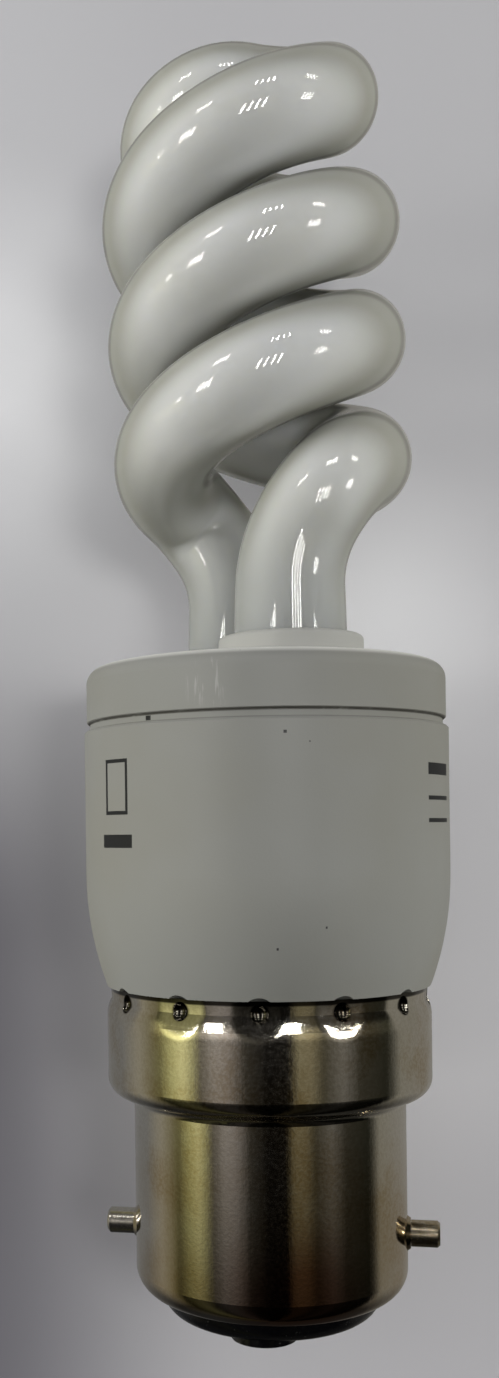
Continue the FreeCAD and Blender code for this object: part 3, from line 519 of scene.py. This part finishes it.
for number, rings in ((1, (BROWN, BLACK, YELLOW)), (2, (RED, RED, ORANGE)), (3, (YELLOW, BROWN, BLACK))):
    low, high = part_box("resistor_%d" % number)
    bands = [(FIRST_RING + RING_PITCH * turn, RING_WIDTH, ring) for turn, ring in enumerate(rings)]
    wear("resistor_%d" % number, coated_body("resistor_lacquer_%d" % number, middle_of(low, high), 0, RESISTOR_HALF,
                                             LACQUER, 0.32, bands + [(LAST_RING, RING_WIDTH, GOLD)]))

# Ballast housing
# A cup moulded in off-white plastic with a satin skin. It carries two plain
# printed blocks on the left, a plain block of lines on the right and specks.

# The plastic's tones are a mid grey, darker than its own off-white: painted shade over the whole housing and collar.
SHADED_PLASTIC, SHADED_PLASTIC_WARM, PLASTIC_SPECK = (0.212, 0.215, 0.199, 1), (0.202, 0.201, 0.176, 1), (0.05, 0.05, 0.05, 1)
INK = (0.012, 0.013, 0.014, 1)
LEFT_MARK, RIGHT_LINES = -43.2, 71.0
# Angle from the front, height, width, length and line, in degrees and millimetres.
PRINTS = [(LEFT_MARK, 35.8, 2.9, 4.2, 0.28), (LEFT_MARK, 31.7, 3.8, 1.0, 1.0), (RIGHT_LINES, 36.9, 4.2, 0.9, 0.9),
          (RIGHT_LINES, 34.7, 4.2, 0.32, 0.32), (RIGHT_LINES, 33.0, 4.2, 0.32, 0.32)]
SPECKS = [(12.4, 39.4, 0.24, 0.22, 0.2), (9.7, 23.9, 0.16, 0.18, 0.2), (23.8, 25.4, 0.14, 0.16, 0.2)]
COLLAR_SPECK = (-30.2, 40.8, 0.5, 0.35, 0.3)


def printed_block_group():
    """A plain printed block on a round wall: a filled or outlined rectangle that
    is set by its angle from the front, its height and its size."""
    group, given = new_group("printed_block", "ShaderNodeTree", [
        ("Vector", "Vector"), ("Angle", "Float"), ("Height", "Float"), ("Wide", "Float", 0.002),
        ("Tall", "Float", 0.001), ("Line", "Float", 1.0), ("Radius", "Float", 0.0147)], [("Mask", "Float")])
    x, y, z = xyz(group, given["Vector"])
    angle = math_node(group, "ARCTAN2", x, times(group, y, -1.0))
    along = times(group, minus(group, angle, given["Angle"]), given["Radius"])
    side = minus(group, math_node(group, "ABSOLUTE", along), times(group, given["Wide"], 0.5))
    up = math_node(group, "ABSOLUTE", minus(group, z, given["Height"]))
    reach = math_node(group, "MAXIMUM", side, minus(group, up, times(group, given["Tall"], 0.5)))
    inside = math_node(group, "LESS_THAN", reach, 0.0)
    hollow = math_node(group, "LESS_THAN", reach, times(group, given["Line"], -1.0))
    return put_out(group, Mask=minus(group, inside, hollow))


printed_block = printed_block_group()


def satin_plastic(name, prints):
    """Moulded plastic in a grey that stands for its off-white in shade, with printed blocks laid over it."""
    made, tree, shader, place = finish_named(name, 0.5, IOR=1.43)
    surface = add(tree, "ShaderNodeGroup", place, node_tree=moulded_plastic).outputs
    colour = blend_colours(tree, ramp(tree, surface["Cloud"], 0.35, 0.7), SHADED_PLASTIC, SHADED_PLASTIC_WARM)
    colour = blend_colours(tree, surface["Specks"], colour, PLASTIC_SPECK)
    for angle, *sizes in prints:
        block = add(tree, "ShaderNodeGroup", place, math.radians(angle), *(size * MM for size in sizes),
                    node_tree=printed_block)
        colour = blend_colours(tree, block.outputs["Mask"], colour, INK)
    tree.links.new(colour, shader.inputs["Base Color"])
    roughen(tree, shader, surface["Cloud"], 0.44, 0.56)
    raise_skin(tree, shader, surface["Skin"], 0.12, 0.05 * MM)
    return made, tree, shader, place


wear("ballast_housing", satin_plastic("housing_plastic", PRINTS + SPECKS)[0])

# Tube holder
# The moulded lid of the housing. Its collar stands above a recessed seam, and
# a ferrule guides each leg of the tube.

FERRULE_FOOT, SEAM_TOP, SEAM_TALL = 0.0457, 0.0411, 0.0006
LIT_FLAT_TOP, LIT_FERRULE, SEAM_SHADE = (0.62, 0.62, 0.58, 1), (0.32, 0.322, 0.30, 1), (0.035, 0.033, 0.027, 1)
SCUFF, SCUFF_INNER, SCUFF_OUTER, SCUFFED = (-0.0024, -0.0143, 0.0432), 0.0004, 0.0026, (0.50, 0.50, 0.48, 1)

made, tree, shader, place = satin_plastic("collar_plastic", [COLLAR_SPECK])
height = xyz(tree, place)[2]
holder_tone = shader.inputs["Base Color"].links[0].from_socket
# The flat top and the ferrules are painted paler than the walls: painted light, lit copies of the same plastic.
holder_tone = blend_colours(tree, ramp(tree, height, FERRULE_FOOT - 0.6 * MM, FERRULE_FOOT - 0.1 * MM), holder_tone, LIT_FLAT_TOP)
holder_tone = blend_colours(tree, ramp(tree, height, FERRULE_FOOT, FERRULE_FOOT + 0.2 * MM), holder_tone, LIT_FERRULE)
# Both edges of the recessed seam are darkened in streaks: painted shade in the recess.
streaks = ramp(tree, noise(tree, place, 700.0, 3.0, 0.6), 0.1, 0.5)
for seam_edge, strength in ((SEAM_TOP, 0.85), (SEAM_TOP - SEAM_TALL, 0.45)):
    away = math_node(tree, "ABSOLUTE", minus(tree, height, seam_edge))
    seam_shaded = times(tree, fall(tree, away, 0.05 * MM, 0.14 * MM), streaks)
    holder_tone = blend_colours(tree, times(tree, seam_shaded, strength), holder_tone, SEAM_SHADE)
slanted = add(tree, "ShaderNodeMapping", place, None, (0.4, 0.9, 0.3), (1.0, 1.0, 0.12)).outputs[0]
scratches = ramp(tree, noise(tree, slanted, 3400.0, 2.0, 0.6), 0.55, 0.66)
from_scuff = vector_math(tree, "DISTANCE", place, SCUFF)
scuffed = times(tree, fall(tree, from_scuff, SCUFF_INNER, SCUFF_OUTER), scratches)
paint(tree, shader, times(tree, scuffed, 0.28), holder_tone, SCUFFED)
wear("tube_holder", made)

# Discharge tube
# One glass tube, bent hot into a double helix whose strands join in an S on
# top. Clear glass lies over a greenish-white phosphor lining.

LEG_RADIUS, WOUND_RADIUS = 4.35, 4.02
TAPER_START, TAPER_END = 7.0, 22.0
LEG_CIRCLE, LEG_ANGLE, LEG_BOTTOM, BEND_START = 5.93, -62.5, 38.6, 51.0
COIL_RADIUS, COIL_PITCH, COIL_BASE = 8.03, 19.1, 61.75
COIL_START, COIL_END, COIL_STEP = -23.5, 497.0, 43.0
CROWN_HEIGHT, CROWN_HEADING = 92.2, 34.0
COIL_LEAN, LEAN_HEADING, LEAN_HEIGHT = 2.2, 191.5, 63.0
SEAL_SIZE, SEAL_DROP, SEAL_DOME = (4.2, 1.5, 2.6), 0.5, 1.6
RING_STEP, RING_POINTS = 0.5, 72
PHOSPHOR, PHOSPHOR_GREEN, GLASS_SPECK = (0.510, 0.520, 0.522, 1), (0.482, 0.488, 0.472, 1), (0.10, 0.10, 0.09, 1)
RIM_SHADE, PAINTED_WALL_LINE, RIM_REFLECTION = (0.215, 0.217, 0.185, 1), (0.06, 0.06, 0.048, 1), (0.42, 0.42, 0.40, 1)
LEG_SHADE, LEG_SHADE_FULL, LEG_SHADE_END = (0.24, 0.25, 0.24, 1), 0.048, 0.061


def turned(angle):
    return Vector((math.cos(math.radians(angle)), math.sin(math.radians(angle)), 0))


def strand(half_turn):
    """Points and headings of one strand, from its sealed end up to the crown."""
    way = turned(LEAN_HEADING)
    lean = Matrix.Translation((0, 0, LEAN_HEIGHT)) @ Matrix.Rotation(
        math.radians(COIL_LEAN), 4, Vector((-way.y, way.x, 0))) @ Matrix.Translation((0, 0, -LEAN_HEIGHT))
    foot = turned(LEG_ANGLE + half_turn) * LEG_CIRCLE
    up = Vector((0, 0, 1))
    stations = [(foot + up * LEG_BOTTOM, up), (foot + up * BEND_START, up)]
    count = round((COIL_END - COIL_START) / COIL_STEP)
    rise = COIL_PITCH / (2 * math.pi)
    for n in range(count + 1):
        angle = COIL_START + (COIL_END - COIL_START) * n / count
        point = turned(angle + half_turn) * COIL_RADIUS + up * (COIL_BASE + rise * math.radians(angle))
        heading = turned(angle + half_turn + 90) * COIL_RADIUS + up * rise
        stations.append((lean @ point, (lean.to_3x3() @ heading).normalized()))
    stations.append((lean @ (up * CROWN_HEIGHT), lean.to_3x3() @ turned(CROWN_HEADING + half_turn)))
    return stations


def with_joints(stations):
    """Add, between each two stations, the point where their two tangent arcs meet."""
    route = [stations[0]]
    for (start, leaving), (end, arriving) in zip(stations[:-1], stations[1:]):
        chord = end - start
        if leaving.angle(chord) > 1e-6:
            a = 2 * (1 - leaving.dot(arriving))
            b = 2 * chord.dot(leaving + arriving)
            c = -chord.dot(chord)
            leg = -c / b if a < 1e-9 else (math.sqrt(b * b - 4 * a * c) - b) / (2 * a)
            first, second = start + leaving * leg, end - arriving * leg
            route.append(((first + second) / 2, (second - first).normalized()))
        route.append((end, arriving))
    return route


front, back = strand(0), strand(180)
route = with_joints(front + [(point, -heading) for point, heading in reversed(back[:-1])])
path = bpy.data.curves.new("tube_path", "CURVE")
path.dimensions = "3D"
path.resolution_u = 16
spline = path.splines.new("BEZIER")
spline.bezier_points.add(len(route) - 1)
reaches = []
for (start, leaving), (end, arriving) in zip(route[:-1], route[1:]):
    reaches.append((end - start).length / (3 * math.cos(leaving.angle(arriving) / 4) ** 2))
for number, (knot, (point, heading)) in enumerate(zip(spline.bezier_points, route)):
    before = reaches[max(number - 1, 0)]
    after = reaches[min(number, len(reaches) - 1)]
    knot.handle_left_type = knot.handle_right_type = "FREE"
    knot.co = point * MM
    knot.handle_left = (point - heading * before) * MM
    knot.handle_right = (point + heading * after) * MM


def swept_glass_group():
    """Sweep a round glass section along a path, and draw both ends in to a
    pinched seal."""
    group, given = new_group("swept_glass", "GeometryNodeTree", [
        ("Path", "Geometry"), ("Leg radius", "Float", 0.004), ("Wound radius", "Float", 0.004),
        ("Taper start", "Float", 0.009), ("Taper end", "Float", 0.012), ("Step", "Float", 0.0005),
        ("Ring points", "Int", 64), ("Dome", "Float", 0.0016), ("Seal size", "Vector"), ("Glass", "Material"),
    ], [("Tube", "Geometry")])
    even = add(group, "GeometryNodeResampleCurve", mode="LENGTH",
               named={"Curve": given["Path"], "Length": given["Step"]}).outputs[0]
    along = add(group, "GeometryNodeSplineParameter").outputs["Length"]
    whole = add(group, "GeometryNodeSplineLength").outputs[0]
    end = math_node(group, "MINIMUM", along, minus(group, whole, along))
    drawn_in = ramp(group, end, 0.0, given["Dome"], 0.5, 1.0)
    tapered = ramp(group, end, given["Taper start"], given["Taper end"], given["Leg radius"], given["Wound radius"])
    thick = add(group, "GeometryNodeSetCurveRadius", named={
        "Curve": even, "Radius": times(group, drawn_in, tapered)}).outputs[0]
    ring = add(group, "GeometryNodeCurvePrimitiveCircle", named={"Resolution": given["Ring points"], "Radius": 1.0})
    swept = add(group, "GeometryNodeCurveToMesh", named={
        "Curve": thick, "Profile Curve": ring.outputs[0], "Fill Caps": True,
        "Scale": add(group, "GeometryNodeInputRadius").outputs[0]})
    smooth = add(group, "GeometryNodeSetShadeSmooth", named={"Geometry": swept.outputs[0]}).outputs[0]
    block = add(group, "GeometryNodeMeshCube", named={"Size": given["Seal size"]}).outputs[0]
    pinch = add(group, "GeometryNodeTransform", named={"Geometry": block, "Translation": (0, 0, -SEAL_DROP * MM)})
    ends = add(group, "GeometryNodeCurveEndpointSelection").outputs[0]
    seals = add(group, "GeometryNodeInstanceOnPoints", named={
        "Points": even, "Selection": ends, "Instance": pinch.outputs[0]})
    joined = add(group, "GeometryNodeJoinGeometry", smooth)
    group.links.new(seals.outputs[0], joined.inputs[0])
    real = add(group, "GeometryNodeRealizeInstances", joined.outputs[0]).outputs[0]
    glass = add(group, "GeometryNodeSetMaterial", named={"Geometry": real, "Material": given["Glass"]})
    return put_out(group, Tube=glass.outputs[0])


# Pale and glossy, with few specks. Toward the rim its colour is greyer, with a thin
# dark line and a pale rim where the clear wall is seen edge-on: painted shade, and
# a painted line and reflection. Low on the legs it is darker: painted shade.
phosphor_glass, tree, shader, place = finish_named(
    "phosphor_glass", 0.6, IOR=1.3, Coat_Weight=1.0, Coat_Roughness=0.0, Coat_IOR=1.52, Subsurface_Weight=0.85,
    Subsurface_Scale=0.008, Subsurface_Radius=(1.0, 0.98, 0.85))
surface = add(tree, "ShaderNodeGroup", place, 90.0, 3000.0, 210.0, 0.024, node_tree=moulded_plastic).outputs
colour = blend_colours(tree, ramp(tree, surface["Cloud"], 0.35, 0.7), PHOSPHOR, PHOSPHOR_GREEN)
# Toward the silhouette the colour turns greyer, then shows a dark line and a pale rim: painted shade, and a painted
# dark line and reflection of the glass wall seen edge-on.
facing = add(tree, "ShaderNodeLayerWeight", 0.5).outputs["Facing"]
edge = ramp(tree, facing, 0.15, 0.60)
line = minus(tree, ramp(tree, facing, 0.72, 0.80), ramp(tree, facing, 0.83, 0.91))
clear = ramp(tree, facing, 0.84, 0.93)
# Darker low on the legs, near the housing: painted shade.
low_legs = fall(tree, xyz(tree, place)[2], LEG_SHADE_FULL, LEG_SHADE_END)
for mask, share, tone in ((edge, 0.88, RIM_SHADE), (line, 0.5, PAINTED_WALL_LINE), (clear, 0.75, RIM_REFLECTION),
                          (low_legs, 0.75, LEG_SHADE)):
    colour = blend_colours(tree, times(tree, mask, share), colour, tone)
paint(tree, shader, surface["Specks"], colour, GLASS_SPECK)

tube_path = bpy.data.objects.new("tube_path", path)
bpy.context.scene.collection.objects.link(tube_path)
sweep = tube_path.modifiers.new("sweep", "NODES")
sweep.node_group = swept_glass_group()
given = {item.name: item.identifier for item in sweep.node_group.interface.items_tree if item.in_out == "INPUT"}
for name, value in (("Leg radius", LEG_RADIUS * MM), ("Wound radius", WOUND_RADIUS * MM),
                    ("Taper start", TAPER_START * MM), ("Taper end", TAPER_END * MM), ("Step", RING_STEP * MM),
                    ("Ring points", RING_POINTS), ("Dome", SEAL_DOME * MM),
                    ("Seal size", [length * MM for length in SEAL_SIZE]), ("Glass", phosphor_glass)):
    sweep[given[name]] = value
bpy.context.view_layer.update()
blown = bpy.data.meshes.new_from_object(tube_path.evaluated_get(bpy.context.evaluated_depsgraph_get()))
tube_path.modifiers.remove(sweep)
bpy.data.objects.remove(tube_path)
glass_tube = bpy.data.objects.new("glass_tube", blown)
bpy.context.scene.collection.objects.link(glass_tube)
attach(glass_tube, "root")
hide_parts("discharge_tube")

# Cement and filament leads
# A rough poured cement holds the tube's legs in the lid, with pores where air
# was caught. Two wires from each leg go down to the board.

CEMENT, CEMENT_DARK, PORE_SHADE = (0.56, 0.53, 0.46, 1), (0.43, 0.40, 0.34, 1), (0.22, 0.20, 0.17, 1)

made, tree, shader, place = finish_named("poured_cement", 0.85, IOR=1.5)
sand = noise(tree, place, 1600.0, 4.0, 0.65)
pores = add(tree, "ShaderNodeTexVoronoi", place, None, 900.0)
# The pits are painted darker: painted shade in the pores.
pit = fall(tree, pores.outputs["Distance"], 0.12, 0.24)
paint(tree, shader, pit, blend_colours(tree, ramp(tree, sand, 0.35, 0.65), CEMENT, CEMENT_DARK), PORE_SHADE)
roughen(tree, shader, sand, 0.75, 0.95)
raise_skin(tree, shader, minus(tree, sand, pit), 0.7, 0.12 * MM)
wear("leg_cement", made)

lead_tin = bare_wire("lead_tin", 1100.0)
for number in range(1, 5):
    wear("filament_lead_%d" % number, lead_tin)

# Light and stand
# The lamp lies against a pale surface whose colour carries painted shadows and
# pools of painted light, under rows of small ceiling lamps with four tubes each, in
# a soft room with a soft lamp at each side and one by the camera. The camera
# stands at the photograph's place.

HEADING = math.radians(11.5)
right = Vector((math.cos(HEADING), math.sin(HEADING), 0))
ahead = Vector((-math.sin(HEADING), math.cos(HEADING), 0))


def at(sideways, forward, height):
    """A place by its distance to the right, ahead and up, as the camera sees it."""
    return right * sideways + ahead * forward + Vector((0, 0, height))


bpy.context.scene.view_settings.view_transform = "Standard"

FLOOR_AHEAD, FLOOR_HALF, FLOOR_TOP = 0.0148, 0.6, 0.7
FLOOR_LOW, FLOOR_MIDDLE, FLOOR_HIGH = (0.52, 0.515, 0.54, 1), (0.65, 0.645, 0.67, 1), (0.50, 0.50, 0.52, 1)
FLOOR_LEFT, FLOOR_SHADOW = (0.56, 0.562, 0.585, 1), (0.135, 0.13, 0.152, 1)
FLOOR_POOL, FLOOR_CLOUD = (0.90, 0.905, 0.93, 1), (0.45, 0.45, 0.49, 1)
LOW_END, MIDDLE_START, MIDDLE_END, HIGH_START = -0.006, 0.014, 0.035, 0.085
SHADE_LEFT, SHADE_RIGHT, SHADE_TOP, SHADE_END = -0.027, 0.0, 0.022, 0.058
# Where light pools by the coils: its place to the right, height, size and share.
POOLS = [(0.012, 0.051, 0.018, 0.8), (-0.025, 0.075, 0.023, 0.9)]

corners = [at(x, FLOOR_AHEAD, z) for x, z in (
    (-FLOOR_HALF, -FLOOR_HALF), (FLOOR_HALF, -FLOOR_HALF), (FLOOR_HALF, FLOOR_TOP), (-FLOOR_HALF, FLOOR_TOP))]
floor_mesh = bpy.data.meshes.new("floor")
floor_mesh.from_pydata(corners, [], [(0, 1, 2, 3)])
floor = bpy.data.objects.new("floor", floor_mesh)
bpy.context.scene.collection.objects.link(floor)
made, tree, shader, place = finish_named("pale_floor", 0.7)
# The floor's colour is painted with light and shade: bands by height, a lighter upper left, a painted shadow low on
# the left and pools of painted light by the coils.
height = xyz(tree, place)[2]
left_side = fall(tree, vector_math(tree, "DOT_PRODUCT", place, tuple(right)), SHADE_LEFT, SHADE_RIGHT)
upper = ramp(tree, height, SHADE_TOP, SHADE_END)
tone = blend_colours(tree, ramp(tree, height, LOW_END, MIDDLE_START), FLOOR_LOW, FLOOR_MIDDLE)
tone = blend_colours(tree, ramp(tree, height, MIDDLE_END, HIGH_START), tone, FLOOR_HIGH)
tone = blend_colours(tree, times(tree, left_side, upper), tone, FLOOR_LEFT)
tone = blend_colours(tree, times(tree, left_side, minus(tree, 1.0, upper)), tone, FLOOR_SHADOW)
for sideways, up, size, share in POOLS:
    away = vector_math(tree, "DISTANCE", place, tuple(at(sideways, FLOOR_AHEAD, up)))
    tone = blend_colours(tree, times(tree, fall(tree, away, 0.0, size), share), tone, FLOOR_POOL)
paint(tree, shader, times(tree, noise(tree, place, 14.0, 2.0, 0.4), 0.12), tone, FLOOR_CLOUD)
behind = add(tree, "ShaderNodeNewGeometry").outputs["Backfacing"]
clear = add(tree, "ShaderNodeBsdfTransparent")
either = add(tree, "ShaderNodeMixShader", behind, shader.outputs[0], clear.outputs[0])
tree.links.new(either.outputs[0], tree.nodes["Material Output"].inputs["Surface"])
floor_mesh.materials.append(made)
floor.visible_glossy = False

# The room's soft light, which is weaker from where the photographer stands, low
# down and on the right.
AIR_LOW, AIR_HIGH, BACKDROP = (0.80, 0.77, 0.66, 1), (0.80, 0.80, 0.83, 1), (0.47, 0.47, 0.485, 1)
BLOCK_EDGE, BLOCK_MIDDLE, BLOCK_SHARE = 0.15, 0.95, 0.42
LEFT_SHARE, RIGHT_SHARE, LOW_SHARE, AIR_BOTTOM, AIR_TOP = 1.12, 0.78, 0.35, -0.9, 0.15

world = bpy.data.worlds.new("room")
bpy.context.scene.world = world
world.use_nodes = True
tree = world.node_tree
ground = tree.nodes["Background"]
direction = add(tree, "ShaderNodeTexCoord").outputs["Generated"]
sideways = vector_math(tree, "DOT_PRODUCT", direction, tuple(right))
toward = vector_math(tree, "DOT_PRODUCT", direction, tuple(-ahead))
height = xyz(tree, direction)[2]
photographer = tuple(at(0, -0.86, -0.5).normalized())
blocked = ramp(tree, vector_math(tree, "DOT_PRODUCT", direction, photographer), BLOCK_EDGE, BLOCK_MIDDLE,
               1.0, BLOCK_SHARE)
sided = level(tree, sideways, -1.0, 1.0, LEFT_SHARE, RIGHT_SHARE)
overhead = ramp(tree, height, AIR_BOTTOM, AIR_TOP)
falling = level(tree, overhead, 0.0, 1.0, LOW_SHARE, 1.0)
tree.links.new(blend_colours(tree, overhead, AIR_LOW, AIR_HIGH), ground.inputs["Color"])
tree.links.new(times(tree, times(tree, blocked, sided), falling), ground.inputs["Strength"])

# What the metal and the glass mirror: the room as bands of tones by their angle
# from the camera's side, dark low down and bright at eye level.
ROOM = [(-130, (0.18, 0.18, 0.18)), (-108, (0.28, 0.26, 0.21)), (-94, (0.20, 0.18, 0.11)), (-86, (0.26, 0.24, 0.11)),
        (-74, (0.84, 0.81, 0.37)), (-66, (1.10, 1.05, 0.53)), (-60, (0.70, 0.67, 0.34)), (-53, (0.20, 0.18, 0.14)),
        (-42, (0.48, 0.44, 0.41)), (-34, (0.44, 0.40, 0.38)), (-21, (0.07, 0.065, 0.055)), (-6, (0.006, 0.005, 0.004)),
        (9, (0.006, 0.005, 0.004)), (16, (0.32, 0.28, 0.17)), (24, (0.30, 0.26, 0.16)), (33, (0.10, 0.09, 0.06)),
        (47, (0.23, 0.215, 0.19)), (60, (0.06, 0.055, 0.04)), (84, (0.03, 0.03, 0.02)), (98, (0.22, 0.21, 0.18)),
        (125, (0.24, 0.23, 0.21))]
DARK_FULL, DARK_END, DARK_SHARE, OPEN_SHARE = -0.43, -0.10, 0.04, 0.70
EYE_START, EYE_FULL, EYE_END, EYE_GONE, EYE_SHARE = -0.15, -0.05, 0.0, 0.14, 0.8
UPPER_START, UPPER_FULL, UPPER_SHARE = 0.02, 0.2, 0.35
WALL_START, WALL_FULL = math.radians(84), math.radians(98)
WALL_DARK, WALL_LIT, WALL_SHARE = -0.75, -0.35, 0.1

azimuth = math_node(tree, "ARCTAN2", sideways, toward)
turn = plus(tree, math_node(tree, "DIVIDE", azimuth, 2 * math.pi), 0.5)
bands = add(tree, "ShaderNodeValToRGB", turn)
stops = bands.color_ramp.elements
stops.remove(stops[1])
for number, (angle, colour) in enumerate(ROOM):
    stop = stops[0] if number == 0 else stops.new(angle / 360 + 0.5)
    stop.position = angle / 360 + 0.5
    stop.color = colour + (1,)
low_dark = ramp(tree, height, DARK_FULL, DARK_END, DARK_SHARE, OPEN_SHARE)
upper_dim = level(tree, height, UPPER_START, UPPER_FULL, 1.0, UPPER_SHARE)
eye_level = minus(tree, ramp(tree, height, EYE_START, EYE_FULL), ramp(tree, height, EYE_END, EYE_GONE))
middle_level = plus(tree, times(tree, low_dark, upper_dim), times(tree, eye_level, EYE_SHARE))
walls = ramp(tree, math_node(tree, "ABSOLUTE", azimuth), WALL_START, WALL_FULL)
wall_level = level(tree, height, WALL_DARK, WALL_LIT, WALL_SHARE, 1.0)
mirrored = add(tree, "ShaderNodeBackground", bands.outputs["Color"],
               level(tree, walls, 0.0, 1.0, middle_level, wall_level))
backdrop = add(tree, "ShaderNodeBackground", BACKDROP, 1.0)
rays = add(tree, "ShaderNodeLightPath").outputs
either = add(tree, "ShaderNodeMixShader", rays["Is Glossy Ray"], ground.outputs[0], mirrored.outputs[0])
either = add(tree, "ShaderNodeMixShader", rays["Is Camera Ray"], either.outputs[0], backdrop.outputs[0])
tree.links.new(either.outputs[0], tree.nodes["World Output"].inputs["Surface"])


def hang(name, place, size, energy, turned_to=None):
    """A rectangular lamp that faces the stand, or the point it is turned to."""
    lamp = bpy.data.lights.new(name, "AREA")
    lamp.shape = "RECTANGLE"
    lamp.size, lamp.size_y = size
    lamp.energy = energy
    lamp.color = (1.0, 0.99, 0.95)
    hung = bpy.data.objects.new(name, lamp)
    hung.location = place
    hung.rotation_euler = (math.radians(90), 0, HEADING)
    if turned_to is not None:
        hung.rotation_euler = (turned_to - place).to_track_quat("-Z", "Z").to_euler()
    bpy.context.scene.collection.objects.link(hung)
    return hung


# Ceiling lamps as their column, row and energy, which only mirrors show, and
# soft lamps as their place, size and energy, which mirrors don't show.
CEILING, STRIP_SIZE, STRIP_PITCH, MIDDLE = 1.6, (0.05, 0.42), 0.15, Vector((0, 0, 0.03))
CEILING_LAMPS = [(-1.45, 0.27, 2.6), (0.2, 0.27, 2.0), (1.75, 0.27, 2.2), (-1.45, 1.75, 2.8), (0.2, 1.75, 2.8),
                 (1.75, 1.75, 2.6), (-3.2, 0.27, 2.0)]
SOFT_LAMPS = [((-1.7, -0.75, 1.0), 0.7, 4.5), ((1.7, -0.8, 0.9), 0.7, 3.4), ((-1.7, -0.16, 0.05), 0.3, 23.0),
              ((1.7, -0.16, 0.05), 0.3, 15.0), ((0.3, -0.95, 0.1), 0.25, 2.1)]

for column, row, energy in CEILING_LAMPS:
    for strip in range(4):
        place = at(column + (strip - 1.5) * STRIP_PITCH, -CEILING, row)
        hang("ceiling_strip", place, STRIP_SIZE, energy).visible_diffuse = False
for place, size, energy in SOFT_LAMPS:
    hang("softbox", at(*place), (size, size), energy, MIDDLE).visible_glossy = False

EYE, TILT = at(-0.0092, -0.1106, 0.0325), math.radians(-0.72)

camera = bpy.data.cameras.new("camera")
camera.sensor_width = 36.0
camera.lens = 35.35
camera.shift_x, camera.shift_y = 0.0698, 0.1025
camera.clip_start, camera.clip_end = 0.005, 10.0
eye = bpy.data.objects.new("camera", camera)
eye.matrix_world = (Matrix.Translation(EYE) @ Matrix.Rotation(HEADING, 4, "Z")
                    @ Matrix.Rotation(math.radians(90), 4, "X") @ Matrix.Rotation(TILT, 4, "Z"))
bpy.context.scene.collection.objects.link(eye)
bpy.context.scene.camera = eye
